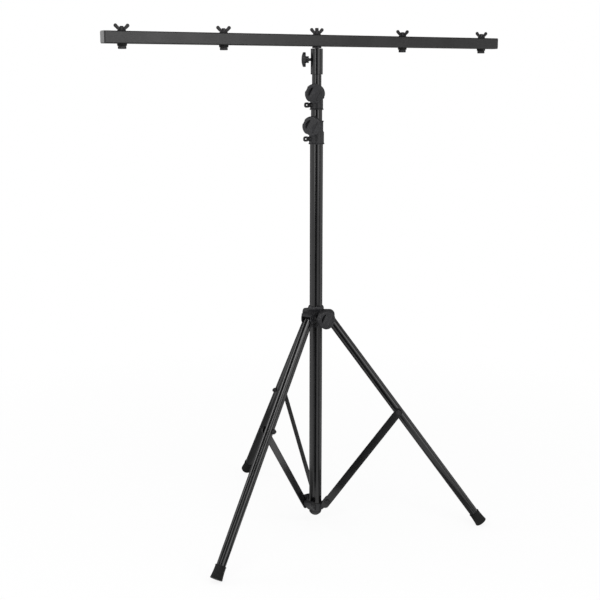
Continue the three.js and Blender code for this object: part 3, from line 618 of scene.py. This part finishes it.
def add_trim(name, mesh, like, slot):
    """A small piece that moves with a CAD node's body without standing for the node."""
    item = linked(name, shaded(mesh, slot))
    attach(item, body_of_node[like])


def stud_thread(radius, pitch, length, ridge):
    """A thread that starts at Z = 0."""
    return grown(THREAD, {
        "Radius": radius * MM, "Pitch": pitch * MM, "Length": length * MM, "Ridge": ridge * MM,
        "Material": FINISHES["black_steel"],
    })


# Mast tubes, sleeve and end plug

def mast_tube(name, node, radius, drills):
    """A tube with holes, each given by its radius, its azimuth and its height."""
    low, high = millimetres(node)
    body = softened(pipe(radius, radius - TUBE_WALL, low.z, high.z), 0.4)
    holes = [sideways(rod(hole, 0, radius + OVERRUN), azimuth, z) for hole, azimuth, z in drills]
    add_piece(name, placed(joined(body, cut=holes), AT_MAST), [node])


def pin_row(pin_height):
    return [(PIN_BORE, PIN_AZIMUTH, pin_height - (n + 1) * PIN_PITCH) for n in range(PIN_HOLES)]


def add_mast():
    mast_tube("column_tube", "base_tube", BASE_RADIUS, [(PIN_BORE, PIN_AZIMUTH, LOWER_PIN)])
    mast_tube("middle_stage_tube", "middle_tube", MIDDLE_RADIUS,
              [(PIN_BORE, PIN_AZIMUTH, UPPER_PIN), *pin_row(LOWER_PIN)])
    mast_tube("top_stage_tube", "top_tube", TOP_RADIUS,
              [(HEAD_BORE, HEAD_AZIMUTH, HEAD_KNOB), *pin_row(UPPER_PIN)])

    low, high = millimetres("top_sleeve")
    sleeve = softened(pipe(SLEEVE_RADIUS, TOP_RADIUS + BOLT_GAP, low.z, high.z), 0.9, 3)
    stud_hole = sideways(rod(HEAD_BORE, 0, SLEEVE_RADIUS + OVERRUN), HEAD_AZIMUTH, HEAD_KNOB)
    add_piece("head_sleeve", placed(joined(sleeve, cut=[stud_hole]), AT_MAST), ["top_sleeve"])

    low, high = millimetres("column_end_plug")
    seat = millimetres("base_tube")[0].z - BOLT_GAP
    tip, stem = low.z, BASE_RADIUS - TUBE_WALL - BOLT_GAP
    shoulder, rim = (15.2, tip + 7.4), (BASE_RADIUS, tip + 10.5)
    nose = bend((3.0, tip), (9.5, tip + 1.2), shoulder, 8)
    nose += bend(shoulder, rim, (BASE_RADIUS, seat), 6)[1:]
    plug = lathe([(0, tip), *nose, (stem, seat), (stem, high.z), (0, high.z)])
    add_piece("column_foot_plug", placed(softened(plug, 0.5), AT_MAST), ["column_end_plug"])


# Clamping knobs

def face_cutter(rim, depth):
    """What cuts a knob's face between a chord and a round rim, with a rounded mouth."""
    layers = []
    for wider, up in ((0, -depth), (0, -1.2), (0.15, -0.7), (0.45, -0.3), (0.9, 0), (1.9, 0.6)):
        spread = math.degrees(math.acos((GRIP_CHORD - wider) / (rim + wider)))
        layers.append((arc(0, 0, rim + wider, -spread, spread, 22), KNOB_THICKNESS + up))
    return stacked(layers)


def grip_knob(stud_length):
    """A disc with a deep scooped slot at one side of its face and a shallow hollow at the other.

    Its back is at Z = 0.
    """
    radius, thick, back_edge, face_edge = KNOB_RADIUS, KNOB_THICKNESS, 2, 3.2
    disc = lathe([
        (0, 0), *arc(radius - back_edge, back_edge, back_edge, -90, 0, 3),
        *arc(radius - face_edge, thick - face_edge, face_edge, 0, 90, 5), (0, thick),
    ], KNOB_ROUND, flutes(radius, 4, 22, 1.8))
    slot_rim, slot_depth, slot_slope, hollow_rim, hollow_depth, neck_radius = 16.5, 8.5, 25, 19, 1.5, 8.5
    slope = placed(block_below(), move(GRIP_CHORD, 0, thick - slot_depth), turn("Y", -slot_slope))
    slot = placed(joined(face_cutter(slot_rim, slot_depth + 0.5), cut=[slope]), turn("Z", 180))
    hollow = face_cutter(hollow_rim, hollow_depth)
    head = placed(joined(disc, cut=[hollow, slot]), turn("Z", GRIP_TURN))
    neck = softened(rod(neck_radius, -KNOB_NECK, SINK, NECK_ROUND), 0.5)
    stud = softened(rod(STUD_RADIUS, -stud_length, SINK), 0.5)
    return joined(head, add=[neck, stud])


def add_knob(name, node, azimuth, height, tube_radius, boss_reach):
    back = boss_reach + RUN_GAP + KNOB_NECK
    knob = grip_knob(back - tube_radius - BOLT_GAP - CLAMP_PAD - BOLT_GAP)
    add_piece(name, placed(knob, outward(azimuth, height), ALONG_X, move(z=back)), [node])


# Lock collars and safety pins

def lock_collar(name, node, shape, lower_radius, upper_radius, pin_height, lock_height, azimuth, has_rivet):
    """A collar round two tubes, beaded at both ends, with a boss for the knob and one for the pin."""
    radius, neck, grip = shape
    bead, bead_height = 1.4, 2.5
    low, high = millimetres(node)
    foot, top = low.z, high.z
    waist = foot + grip + bead + radius - neck
    outer = softened(lathe([
        (0, foot), (radius + bead, foot), (radius + bead, foot + bead_height),
        (radius, foot + bead_height + bead), (radius, foot + grip), (neck, waist),
        (neck, top - bead_height - bead), (neck + bead, top - bead_height), (neck + bead, top), (0, top),
    ]), 0.7, 3)
    reach, root, tip, edge = LOCK_BOSS_REACH, 12.4, 12, 1
    boss = lathe([
        (0, 0), (root, 0), (root, reach - 3.5), (tip, reach - 3),
        *arc(tip - edge, reach - edge, edge, 0, 90, 4), (0, reach),
    ], BOSS_ROUND)
    pin_reach = radius + PIN_BOSS_REACH
    pin_boss = softened(rod(PIN_BOSS_RADIUS, 0, pin_reach), 0.7, 3)
    add = [sideways(boss, azimuth, lock_height), sideways(pin_boss, PIN_AZIMUTH, pin_height)]
    if has_rivet:
        rivet, rivet_azimuth, rivet_height = 6.5, -30, top - 20
        crown = lathe([
            (0, 0), (rivet, 0), (rivet, neck), (rivet - 0.3, neck + 1.4), (5, neck + 2.6), (3, neck + 3.3),
            (0, neck + 3.5),
        ], NUT_ROUND)
        add.append(sideways(crown, rivet_azimuth, rivet_height))
    cut = [
        rod(lower_radius + BOLT_GAP, foot - OVERRUN, foot + grip + BOLT_GAP, ROUND),
        rod(upper_radius + RUN_GAP, foot - OVERRUN, top + OVERRUN, ROUND),
        sideways(rod(STUD_BORE, 0, reach + OVERRUN), azimuth, lock_height),
        sideways(rod(PIN_BORE, 0, pin_reach + OVERRUN), PIN_AZIMUTH, pin_height),
    ]
    add_piece(name, placed(joined(outer, add=add, cut=cut), AT_MAST), [node])


def safety_pin(name, node, tube_radius, collar_radius, height):
    """A plunger with a pull loop, lying along X."""
    bar, length, tall, thick, corner, edge = 5.5, 16.0, 14.0, 4.8, 5.4, 1.8
    tip = tube_radius - TUBE_WALL + BOLT_GAP / 2
    seat = collar_radius + PIN_BOSS_REACH + BOLT_GAP
    shoulder_radius, start = 5.5, seat + 2.9
    shaft = softened(placed(rod(PIN_RADIUS, tip, start + bar / 2), ALONG_X), 0.4)
    shoulder = softened(placed(rod(shoulder_radius, seat, start), ALONG_X), 0.5)
    path = rounded_box(start, (bar - tall) / 2, length - bar, tall - bar, corner - bar / 2)
    loop = closed_bar(path, rounded_box(-bar / 2, -thick / 2, bar, thick, edge))
    add_piece(name, placed(joined(shaft, add=[shoulder, loop]), outward(PIN_AZIMUTH, height)), [node])


def add_locks():
    lower_shape, upper_shape = (20.0, 17.9, 31.5), (17.2, 17.2, 27.0)
    lock_collar("lower_collar", "lower_lock_collar", lower_shape, BASE_RADIUS, MIDDLE_RADIUS,
                LOWER_PIN, LOWER_LOCK, LOWER_TURN, False)
    lock_collar("upper_collar", "upper_lock_collar", upper_shape, MIDDLE_RADIUS, TOP_RADIUS,
                UPPER_PIN, UPPER_LOCK, UPPER_TURN, True)
    add_knob("lower_collar_knob", "lower_lock_knob", LOWER_TURN, LOWER_LOCK, MIDDLE_RADIUS, LOCK_BOSS_REACH)
    add_knob("upper_collar_knob", "upper_lock_knob", UPPER_TURN, UPPER_LOCK, TOP_RADIUS, LOCK_BOSS_REACH)
    safety_pin("lower_pull_pin", "lower_safety_pin", BASE_RADIUS, lower_shape[0], LOWER_PIN)
    safety_pin("upper_pull_pin", "upper_safety_pin", MIDDLE_RADIUS, upper_shape[0], UPPER_PIN)


# Bolts across the legs, the braces and the hub

def cross_bolt(head_face, nut_face, with_nut):
    """A bolt along Y with its head on the -Y side."""
    shank = softened(rod(LINK_BOLT_RADIUS, -head_face - SINK, nut_face + LINK_NUT + LINK_TAIL), 0.5)
    add = [hexagon(LINK_HEX, -head_face - LINK_HEAD, -head_face)]
    if with_nut:
        add.append(lock_nut_body(nut_face))
    return placed(joined(shank, add=add), ALONG_Y)


def cross_drill(reach):
    return placed(rod(LINK_BORE, -reach, reach), ALONG_Y)


def lock_nut_body(nut_face):
    """A hexagon that ends in the round collar that holds the locking ring."""
    radius, foot, top = 5.6, nut_face + 3, nut_face + LINK_NUT
    profile = [(0, foot), (radius, foot), (radius, top - 0.5), (radius - 0.5, top), (0, top)]
    collar = lathe(profile, NUT_ROUND)
    return joined(hexagon(LINK_HEX, nut_face, top - 1.1), add=[collar])


def add_bolts():
    head_face = LEG_RADIUS + RUN_GAP + BRACE_THICKNESS + BOLT_GAP
    nut_face = LEG_RADIUS + BOLT_GAP
    hub_face = LEG_RADIUS + RUN_GAP + FORK_WALL + FORK_BOSS + BOLT_GAP
    link_bolt = cross_bolt(head_face, nut_face, True)
    pivot_bolt = cross_bolt(hub_face, hub_face, False)
    bore = rod(LINK_BORE, hub_face - OVERRUN, hub_face + LINK_NUT + OVERRUN)
    pivot_nut = placed(joined(lock_nut_body(hub_face), cut=[bore]), ALONG_Y)
    for number, azimuth in enumerate(LEG_AZIMUTHS, 1):
        at_hub = outward(azimuth, HUB_HEIGHT, PIVOT_RADIUS)
        at_collar = outward(azimuth, COLLAR_HEIGHT, PIVOT_RADIUS)
        at_leg = leg_place(azimuth) @ move(z=-LINK_LENGTH)
        add_piece(f"hub_bolt_{number}", placed(pivot_bolt, at_hub), [f"leg_pivot_bolt_{number}"])
        add_piece(f"hub_nut_{number}", placed(pivot_nut, at_hub), [f"leg_pivot_nut_{number}"])
        add_piece(f"collar_link_bolt_{number}", placed(link_bolt, at_collar), [f"collar_bolt_{number}"])
        add_piece(f"leg_link_bolt_{number}", placed(link_bolt, at_leg), [f"brace_bolt_{number}"])


# Hub and brace collar

def fork_outlines():
    """A fork and the slot for the leg in it, seen from the side, in X and Z from the leg's pivot."""
    reach, nose, chin, sole = LEG_RADIUS + 5, 15, 9, -12
    fork = [
        (-PIVOT_RADIUS, reach), *arc(reach - nose, reach - nose, nose, 90, 0, 10),
        *arc(reach - chin, chin + sole, chin, 0, -90, 8), (-PIVOT_RADIUS, sole),
    ]
    inner, ceiling, front, lip = -LEG_RADIUS - RUN_GAP, LEG_RADIUS + 1.5, LEG_RADIUS + RUN_GAP, 7
    corner, beyond, below = ceiling - lip, front + 9, -32
    slot = [
        (inner, ceiling), *arc(front - corner, lip, corner, 90, 0, 8), (beyond, lip), (beyond, below),
        (inner, below),
    ]
    return fork[::-1], slot[::-1]


def add_hub():
    bore = BASE_RADIUS + RUN_GAP
    foot, top, skirt, waist, crown = -28, 30.4, 20.5, 20.9, 21.8
    core = softened(lathe([
        (0, foot), (skirt, foot), (skirt, -15), (waist, -12), (waist, top - 12), (crown, top - 9),
        (crown, top - 5), (bore + 1.5, top), (0, top),
    ]), 0.9, 3)
    fork_outline, slot_outline = fork_outlines()
    slot_half = LEG_RADIUS + RUN_GAP
    fork = upright(fork_outline, 2 * (slot_half + FORK_WALL))
    fork = softened(joined(fork, cut=[upright(slot_outline, 2 * slot_half)]), 1.0, 3)
    boss_radius, boss_face = 9, slot_half + FORK_WALL + FORK_BOSS
    boss = placed(softened(rod(boss_radius, slot_half + 1, boss_face, BOSS_ROUND), 0.7, 3), ALONG_Y)
    drill = cross_drill(slot_half + 9)
    places = [turn("Z", azimuth) @ move(PIVOT_RADIUS, 0, 0) for azimuth in LEG_AZIMUTHS]
    reach, root, tip = HUB_BOSS_REACH, 10.4, 9.5
    knob_boss = lathe([
        (0, 0), (root, 0), (root, reach - 8), (tip, reach - 4), (tip, reach), (0, reach),
    ], BOSS_ROUND)
    knob_boss = sideways(softened(knob_boss, 0.9, 3), HUB_KNOB_AZIMUTH)
    parts = [placed(part, place) for place in places for part in (fork, boss, placed(boss, turn("Z", 180)))]
    body = joined(core, add=[knob_boss, *parts])
    stud_hole = sideways(rod(STUD_BORE, 0, reach + OVERRUN), HUB_KNOB_AZIMUTH)
    drills = [placed(drill, place) for place in places]
    body = joined(body, cut=[rod(bore, foot - OVERRUN, top + OVERRUN, ROUND), stud_hole, *drills])
    add_piece("leg_hub", placed(body, move(0, MAST_Y, HUB_HEIGHT)), ["hub"])
    add_knob("hub_clamp_knob", "hub_knob", HUB_KNOB_AZIMUTH, HUB_HEIGHT, BASE_RADIUS, HUB_BOSS_REACH)


def collar_arm_outline(outer, bottom):
    """A slanting arm from the sleeve up to a brace bolt, drawn in X and Z."""
    radius, angle = 8.0, math.radians(LEG_ANGLE)
    run = PIVOT_RADIUS - outer
    foot_slope = math.atan2(-bottom, run) - math.asin(radius / math.hypot(run, bottom))
    inner_edge = (radius - (PIVOT_RADIUS - BASE_RADIUS) * math.cos(angle)) / math.sin(angle)
    boss = arc(PIVOT_RADIUS, 0, radius, math.degrees(foot_slope) - 90, 180 - LEG_ANGLE, 16)
    return [(0, bottom), (outer, bottom), *boss, (BASE_RADIUS, inner_edge), (0, inner_edge)]


def add_brace_collar():
    inner = BASE_RADIUS + BOLT_GAP
    outer, foot, edge, top = inner + 2.6, -27, -24, -5
    sleeve = lathe([(0, foot), (outer - 1.5, foot), (outer, edge), (outer, top), (0, top)])
    arm = softened(upright(collar_arm_outline(outer, edge), 2 * LEG_RADIUS), 1.2, 3)
    places = [turn("Z", azimuth) for azimuth in LEG_AZIMUTHS]
    drill = placed(cross_drill(LEG_RADIUS + OVERRUN), move(PIVOT_RADIUS, 0, 0))
    cut = [rod(inner, foot - OVERRUN, 8 + OVERRUN, ROUND), *[placed(drill, place) for place in places]]
    body = joined(softened(sleeve, 0.9, 3), add=[placed(arm, place) for place in places], cut=cut)
    add_piece("brace_foot_collar", placed(body, move(0, MAST_Y, COLLAR_HEIGHT)), ["brace_collar"])


# Legs, feet and braces

def leg_mesh():
    radius, end = LEG_RADIUS, LEG_LENGTH - FOOT_SOLE - BOLT_GAP
    body = softened(pipe(radius, radius - TUBE_WALL, -end, radius, LEG_ROUND), 0.4)
    below = -end - OVERRUN
    keep = upright([*arc(0, 0, radius, 0, 180, 20), (-radius, below), (radius, below)], 4 * radius)
    drill = cross_drill(radius + OVERRUN)
    return joined(body, cut=[drill, placed(drill, move(z=-LINK_LENGTH))], keep=[keep])


def foot_mesh():
    """A flared cap with a rolled lip, cut flat where it meets the floor."""
    radius, neck, height, lip = 16.6, 14.2, 36.0, 0.5
    bore, base = LEG_RADIUS + BOLT_GAP, -LEG_LENGTH
    top = height - LEG_LENGTH
    flare = bend((radius, base + 1.2), (neck, base + height * 0.45), (neck, top - 3.6), 12)
    body = lathe([
        (0, base), (radius - 0.8, base), *flare[:-1], (neck, top - 3.4), (neck + lip, top - 2.8),
        (neck + lip, top - 0.8), (neck, top), (bore, top), (bore, base + FOOT_SOLE), (0, base + FOOT_SOLE),
    ])
    reach = LEG_LENGTH * math.sin(math.radians(LEG_ANGLE))
    floor = placed(block_below(), turn("Y", LEG_ANGLE), move(reach, 0, -HUB_HEIGHT))
    return joined(softened(body, 0.4), cut=[floor])


def brace_mesh():
    """A flat bar from Z = 0, with a tail past its lower bolt."""
    half, tail = 11.0, 9
    outline = arc(0, -tail, half, 180, 360, 20) + arc(0, LINK_LENGTH, half, 0, 180, 20)
    bar = softened(upright(outline, BRACE_THICKNESS), 0.7, 3)
    drill = cross_drill(OVERRUN)
    bar = joined(bar, cut=[drill, placed(drill, move(z=LINK_LENGTH))])
    return placed(bar, move(0, -LEG_RADIUS - RUN_GAP - BRACE_THICKNESS / 2, 0))


def add_legs():
    leg, foot, brace = leg_mesh(), foot_mesh(), brace_mesh()
    for number, azimuth in enumerate(LEG_AZIMUTHS, 1):
        place = leg_place(azimuth)
        add_piece(f"leg_{number}_tube", placed(leg, place), [f"leg_tube_{number}"])
        add_piece(f"leg_{number}_foot", placed(foot, place), [f"foot_{number}"])
        at_collar = outward(azimuth, COLLAR_HEIGHT, PIVOT_RADIUS) @ turn("Y", LEG_ANGLE)
        add_piece(f"brace_{number}_bar", placed(brace, at_collar), [f"brace_{number}"])


# Mast head: knob and spigot

def head_knob():
    """A domed disc with a fluted rim on a stepped boss and a stud, along X."""
    start = SLEEVE_RADIUS + 5
    back = start + 8
    radius, thick, dome, edge = 19.3, 11.5, 3.2, 2.2
    rim = back + thick - dome
    disc = lathe([
        (0, back), *arc(radius - edge, back + edge, edge, -90, 0, 4),
        *arc(radius - edge, rim - edge, edge, 0, 90, 4),
        (radius * 0.62, rim + dome * 0.55), (radius * 0.4, rim + dome * 0.85), (0, rim + dome),
    ], KNOB_ROUND, flutes(radius, 12, 3.4, 0.9))
    tip, boss_radius, stud_radius = TOP_RADIUS - TUBE_WALL + BOLT_GAP / 2, 8.8, 3.7
    boss = softened(rod(boss_radius, start, back + 2, BOSS_ROUND), 0.8, 3)
    stud = softened(rod(stud_radius, tip, start + 2), 0.4)
    place = outward(HEAD_AZIMUTH, HEAD_KNOB) @ ALONG_X
    add_piece("head_clamp_knob", placed(joined(disc, add=[boss, stud]), place), ["sleeve_knob"])
    thread = stud_thread(stud_radius + 0.05, pitch=1.25, length=4.2, ridge=0.32)
    thread = placed(thread, place, move(z=SLEEVE_RADIUS + 0.4))
    add_trim("head_knob_thread", thread, "sleeve_knob", "black_steel")


def add_spigot():
    low, high = millimetres("spigot")
    seat = millimetres("top_tube")[1].z
    radius, shoulder, neck = TOP_RADIUS - TUBE_WALL - BOLT_GAP, seat - RUN_GAP, 5
    flange, flange_foot, flange_top = 12.2, seat + 1, seat + 5
    body = lathe([
        (0, low.z), (radius - 2, low.z), (radius, low.z + 2), (radius, shoulder), (neck, shoulder),
        (neck, flange_foot), (flange, flange_foot), (flange, flange_top), (BOLT_CORE, flange_top),
        (BOLT_CORE, high.z - 1), (BOLT_CORE - 0.9, high.z), (0, high.z),
    ], TURNED_ROUND)
    add_piece("bar_spigot", placed(softened(body, 0.3), AT_MAST), ["spigot"])
    start = BAR_HEIGHT + BAR_SIZE / 2 + 8
    thread = placed(stud_thread(*BOLT_THREAD, high.z - 2 - start, BOLT_RIDGE), move(0, MAST_Y, start))
    add_trim("spigot_thread", thread, "spigot", "black_steel")


# Cross bar, its bolts and its wing nuts

def bar_mesh():
    half = BAR_LENGTH / 2 - CAP_PLATE
    outer = prism(square(BAR_SIZE, BAR_CORNER), -half, half)
    inner = prism(square(BAR_SIZE - 2 * BAR_WALL, BAR_CORNER - BAR_WALL), -half - 1, half + 1)
    hole = rod(BOLT_BORE, -BAR_SIZE, BAR_SIZE)
    holes = [placed(hole, move(x=(n - 2) * BOLT_PITCH)) for n in range(5)]
    return joined(placed(outer, ALONG_X), cut=[placed(inner, ALONG_X), *holes])


def cap_mesh():
    """A plate with rounded edges and a stem that fills the bar's end."""
    outer, edge = BAR_LENGTH / 2, 2.6
    inner = outer - CAP_PLATE + BOLT_GAP
    stem_size = BAR_SIZE - 2 * BAR_WALL - 2 * BOLT_GAP
    stem = prism(square(stem_size, BAR_CORNER - BAR_WALL), inner - 16, inner + 2)
    layers = [(square(BAR_SIZE, BAR_CORNER), inner)]
    for inset, height in arc(edge, outer - edge, edge, 180, 90, 6):
        layers.append((square(BAR_SIZE - 2 * inset, BAR_CORNER), height))
    return placed(joined(stacked(layers), add=[stem]), ALONG_X)


def wing_nut_mesh():
    """A round nut with two wings that lean outwards, standing on Z = 0."""
    core = lathe([
        (0, 0), *arc(9.9, 0.6, 0.6, -90, 0, 3), *arc(9.9, 1.4, 0.6, 0, 80, 3), (8.2, 2.3),
        *bend((8.0, 2.6), (6.6, 5), (6.3, 8.2), 6)[1:], (5.9, 8.8), (0, 8.8),
    ], TURNED_ROUND)
    tip, tip_height, half, root = 15.4, 12.5, 4.4, 5.1
    lean = math.degrees(math.atan2(tip_height - 5, tip - root))
    aside, up = half * math.sin(math.radians(lean)), half * math.cos(math.radians(lean))
    wing = [
        (0, 0.6), (root, 0.6), *bend((root, 0.1), (8.5, 0.1), (tip + aside, tip_height - up), 8)[1:],
        *arc(tip, tip_height, half, lean - 90, lean + 90, 12)[1:],
        *bend((tip - aside, tip_height + up), (6.6, 7.6), (0, 6.2), 8)[1:],
    ]
    wings, bore = softened(upright(wing, 4.5), 1.4, 3), rod(BOLT_BORE, -OVERRUN, tip_height + 9.5)
    return joined(core, add=[wings, placed(wings, turn("Z", 180))], cut=[bore])


def bolt_mesh():
    head_top = -BAR_SIZE / 2 - BOLT_GAP - SPACER_HEIGHT - BOLT_GAP
    across, head_height, reach = 19, 6.6, 11.6
    shank = softened(rod(BOLT_CORE, head_top - SINK, BAR_SIZE / 2 + reach), 0.8)
    return joined(shank, add=[hexagon(across, head_top - head_height, head_top, chamfer=1.2)])


def spacer_mesh():
    foot_radius, top_radius, top = 11.5, 12.3, -BAR_SIZE / 2 - BOLT_GAP
    foot = top - SPACER_HEIGHT
    profile = [(BOLT_BORE, foot), (foot_radius, foot), (top_radius, top), (BOLT_BORE, top)]
    return softened(lathe(profile, TURNED_ROUND), 0.6, 3)


def row_on_bar(mesh, slot):
    part = temporary(mesh)
    row = grown(ROW, {"Part": part, "Pitch": BOLT_PITCH * MM, "Count": 2, "Material": FINISHES[slot]})
    bpy.data.objects.remove(part)
    return placed(row, move(0, MAST_Y, BAR_HEIGHT))


def add_bar():
    at_bar = move(0, MAST_Y, BAR_HEIGHT)
    add_piece("cross_bar_tube", placed(bar_mesh(), at_bar), ["t_bar"])
    add_piece("right_end_cap", placed(cap_mesh(), at_bar), ["end_cap_right"])
    add_piece("left_end_cap", placed(cap_mesh(), at_bar, turn("Z", 180)), ["end_cap_left"])
    bolts, spacers = row_on_bar(bolt_mesh(), "black_steel"), row_on_bar(spacer_mesh(), "black_rubber")
    add_piece("fixture_bolts", bolts, [f"fixture_bolt_{n}" for n in (1, 2, 3, 4)])
    add_piece("bolt_spacers", spacers, [f"bolt_spacer_{n}" for n in (1, 2, 3, 4)])
    thread = placed(stud_thread(*BOLT_THREAD, 3.8, BOLT_RIDGE), move(z=BAR_SIZE / 2 + 6.6))
    add_trim("fixture_bolt_threads", row_on_bar(thread, "black_steel"), "fixture_bolt_1", "black_steel")
    nut = wing_nut_mesh()
    for place, word in enumerate(("1", "2", "centre", "3", "4"), -2):
        spot = move(place * BOLT_PITCH, 0, BAR_SIZE / 2 + BOLT_GAP)
        add_piece(f"wing_nut_{word}_part", placed(nut, at_bar, spot), [f"wing_nut_{word}"])


THREAD, ROW = thread_tree(), row_tree()
add_mast()
add_locks()
add_bolts()
add_hub()
add_brace_collar()
add_legs()
head_knob()
add_spigot()
add_bar()

for name, node in nodes.items():
    if not node.hide_render:
        node.data.materials.clear()
        node.data.materials.append(FINISHES[slot_of_node[name]])


# Studio: pale floor, white surroundings, four soft boxes, grey cards that only reflections see, and a card
# of painted shade under the stand

def studio_ray(tree):
    """1 for camera, glossy and transmission rays, which see the white surroundings."""
    path = tree.nodes.new("ShaderNodeLightPath")
    total = path.outputs["Is Camera Ray"]
    for title in ("Is Glossy Ray", "Is Transmission Ray"):
        total = math_node(tree, "MAXIMUM", total, path.outputs[title])
    return total


def white_surroundings():
    """White where it is seen, and a little dimmer where it only lights."""
    world = bpy.data.worlds.new("studio_air")
    bpy.context.scene.world = world
    world.use_nodes = True
    tree = world.node_tree
    strength = scaled(tree, studio_ray(tree), 0.0, 1.0, 0.75, 1.0)
    fill(tree, tree.nodes["Background"], {"Color": (1.0, 1.0, 1.0, 1.0), "Strength": strength})


def pale_floor():
    """A disc that glows white to the camera, but for a faint share of real shading near the mast."""
    material, tree = blank_material("pale_floor")
    shader = tree.nodes["Principled BSDF"]
    fill(tree, shader, {"Base Color": (0.86, 0.86, 0.86, 1.0), "Roughness": 0.9})
    glow = tree.nodes.new("ShaderNodeEmission")
    where = tree.nodes.new("ShaderNodeTexCoord")
    reach = added(tree, "ShaderNodeVectorMath", {0: where.outputs["Object"]})
    reach.operation = "LENGTH"
    fade = scaled(tree, reach.outputs["Value"], 0.6, 2.0, 0.88, 1.0)
    share = math_node(tree, "MULTIPLY", studio_ray(tree), fade)
    both = added(tree, "ShaderNodeMixShader", {
        0: share, 1: shader.outputs["BSDF"], 2: glow.outputs["Emission"],
    })
    fill(tree, tree.nodes["Material Output"], {"Surface": both.outputs["Shader"]})
    radius, thickness = 9000, 20
    mesh = lathe([(0, -thickness), (radius, -thickness), (radius, 0), (0, 0)], LEG_ROUND)
    mesh.materials.append(material)
    floor = linked("studio_floor", mesh)


CAMERA_TURN, CAMERA_TILT, CAMERA_ROLL = 28.68, 11.2, 0.03
CAMERA_SPOT = (-44.0, -3052.0, 1251.8)
CAMERA_LENS = 67.76
CAMERA_SIDE = AT_MAST @ turn("Z", -CAMERA_TURN)
CARD_REACH, CARD_THICKNESS, CARD_FOOT, WALL_TOP, CEILING = 4300, 10, 2, 2600, 5200


def from_camera_side(x, y, z):
    """A place given with the camera looking along +Y past the mast."""
    return CAMERA_SIDE @ Vector((x * MM, y * MM, z * MM))


def add_camera():
    lens = bpy.data.cameras.new("studio_camera")
    lens.lens = CAMERA_LENS
    lens.sensor_width = 36.0
    camera = linked("studio_camera", lens)
    camera.location = from_camera_side(*CAMERA_SPOT)
    aim = turn("Z", -CAMERA_TURN) @ turn("X", 90 - CAMERA_TILT) @ turn("Z", CAMERA_ROLL)
    camera.rotation_euler = aim.to_euler()
    bpy.context.scene.camera = camera


def soft_box(name, x, y, z, width, height, power):
    """A lamp, placed from the camera's side, that points at the middle of the stand."""
    light = bpy.data.lights.new(name, "AREA")
    light.shape = "RECTANGLE"
    light.size, light.size_y = width * MM, height * MM
    light.energy = power
    item = linked(name, light)
    item.location = from_camera_side(x, y, z)
    aim = from_camera_side(0, 0, 700) - item.location
    item.rotation_euler = aim.to_track_quat("-Z", "Y").to_euler()


def sector(near, far, bearing, spread):
    """Part of a ring round the mast, centred at a bearing from the camera's side."""
    start, end = bearing - 90 - spread, bearing - 90 + spread
    return arc(0, 0, far, start, end, 12) + arc(0, 0, near, end, start, 12)


def grey_card(name, mesh, shade):
    """A card of an even grey, which only reflections see."""
    material, tree = blank_material(name)
    glow = added(tree, "ShaderNodeEmission", {"Color": (shade, shade, shade, 1.0)})
    fill(tree, tree.nodes["Material Output"], {"Surface": glow.outputs["Emission"]})
    mesh.materials.clear()
    mesh.materials.append(material)
    card = linked(name, mesh)
    card.visible_camera = False
    card.visible_diffuse = False
    card.visible_shadow = False


def wall_card(name, bearing, spread, shade=0.0):
    """A strip on the floor and a wall beyond it."""
    strip = prism(sector(300, CARD_REACH, bearing, spread), CARD_FOOT, CARD_FOOT + 2)
    wall = prism(sector(CARD_REACH - CARD_THICKNESS, CARD_REACH, bearing, spread), CARD_FOOT, WALL_TOP)
    grey_card(name, placed(joined(strip, add=[wall]), CAMERA_SIDE), shade)


white_surroundings()
pale_floor()
add_camera()
soft_box("soft_box_left", -1600, -3000, 1900, 1000, 2800, 24)
soft_box("soft_box_right", 2300, -2500, 1900, 1500, 2800, 26)
soft_box("soft_box_above", 300, -2150, 2900, 1700, 800, 24)
soft_box("soft_box_far_left", -2950, 520, 2200, 1500, 1000, 18)
wall_card("flag_front", -5, 18)
wall_card("flag_side", 59, 7)
wall_card("flag_back", 180, 60, 0.18)
lid_radius = CARD_REACH - 2 * CARD_THICKNESS
lid = rod(lid_radius, CEILING, CEILING + CARD_THICKNESS, LEG_ROUND)
skirt = pipe(lid_radius, lid_radius - CARD_THICKNESS, WALL_TOP, CEILING + CARD_THICKNESS / 2, LEG_ROUND)
grey_card("flag_above", placed(joined(lid, add=[skirt]), AT_MAST), 0.02)
# Painted shade: a dim grey sheet behind and under the stand that reflections see in place of the floor's
# shadow there
grey_card("flag_under", placed(prism(sector(5, 450, 180, 120), 6, 8), CAMERA_SIDE), 0.3)

bpy.context.scene.view_settings.view_transform = "Standard"
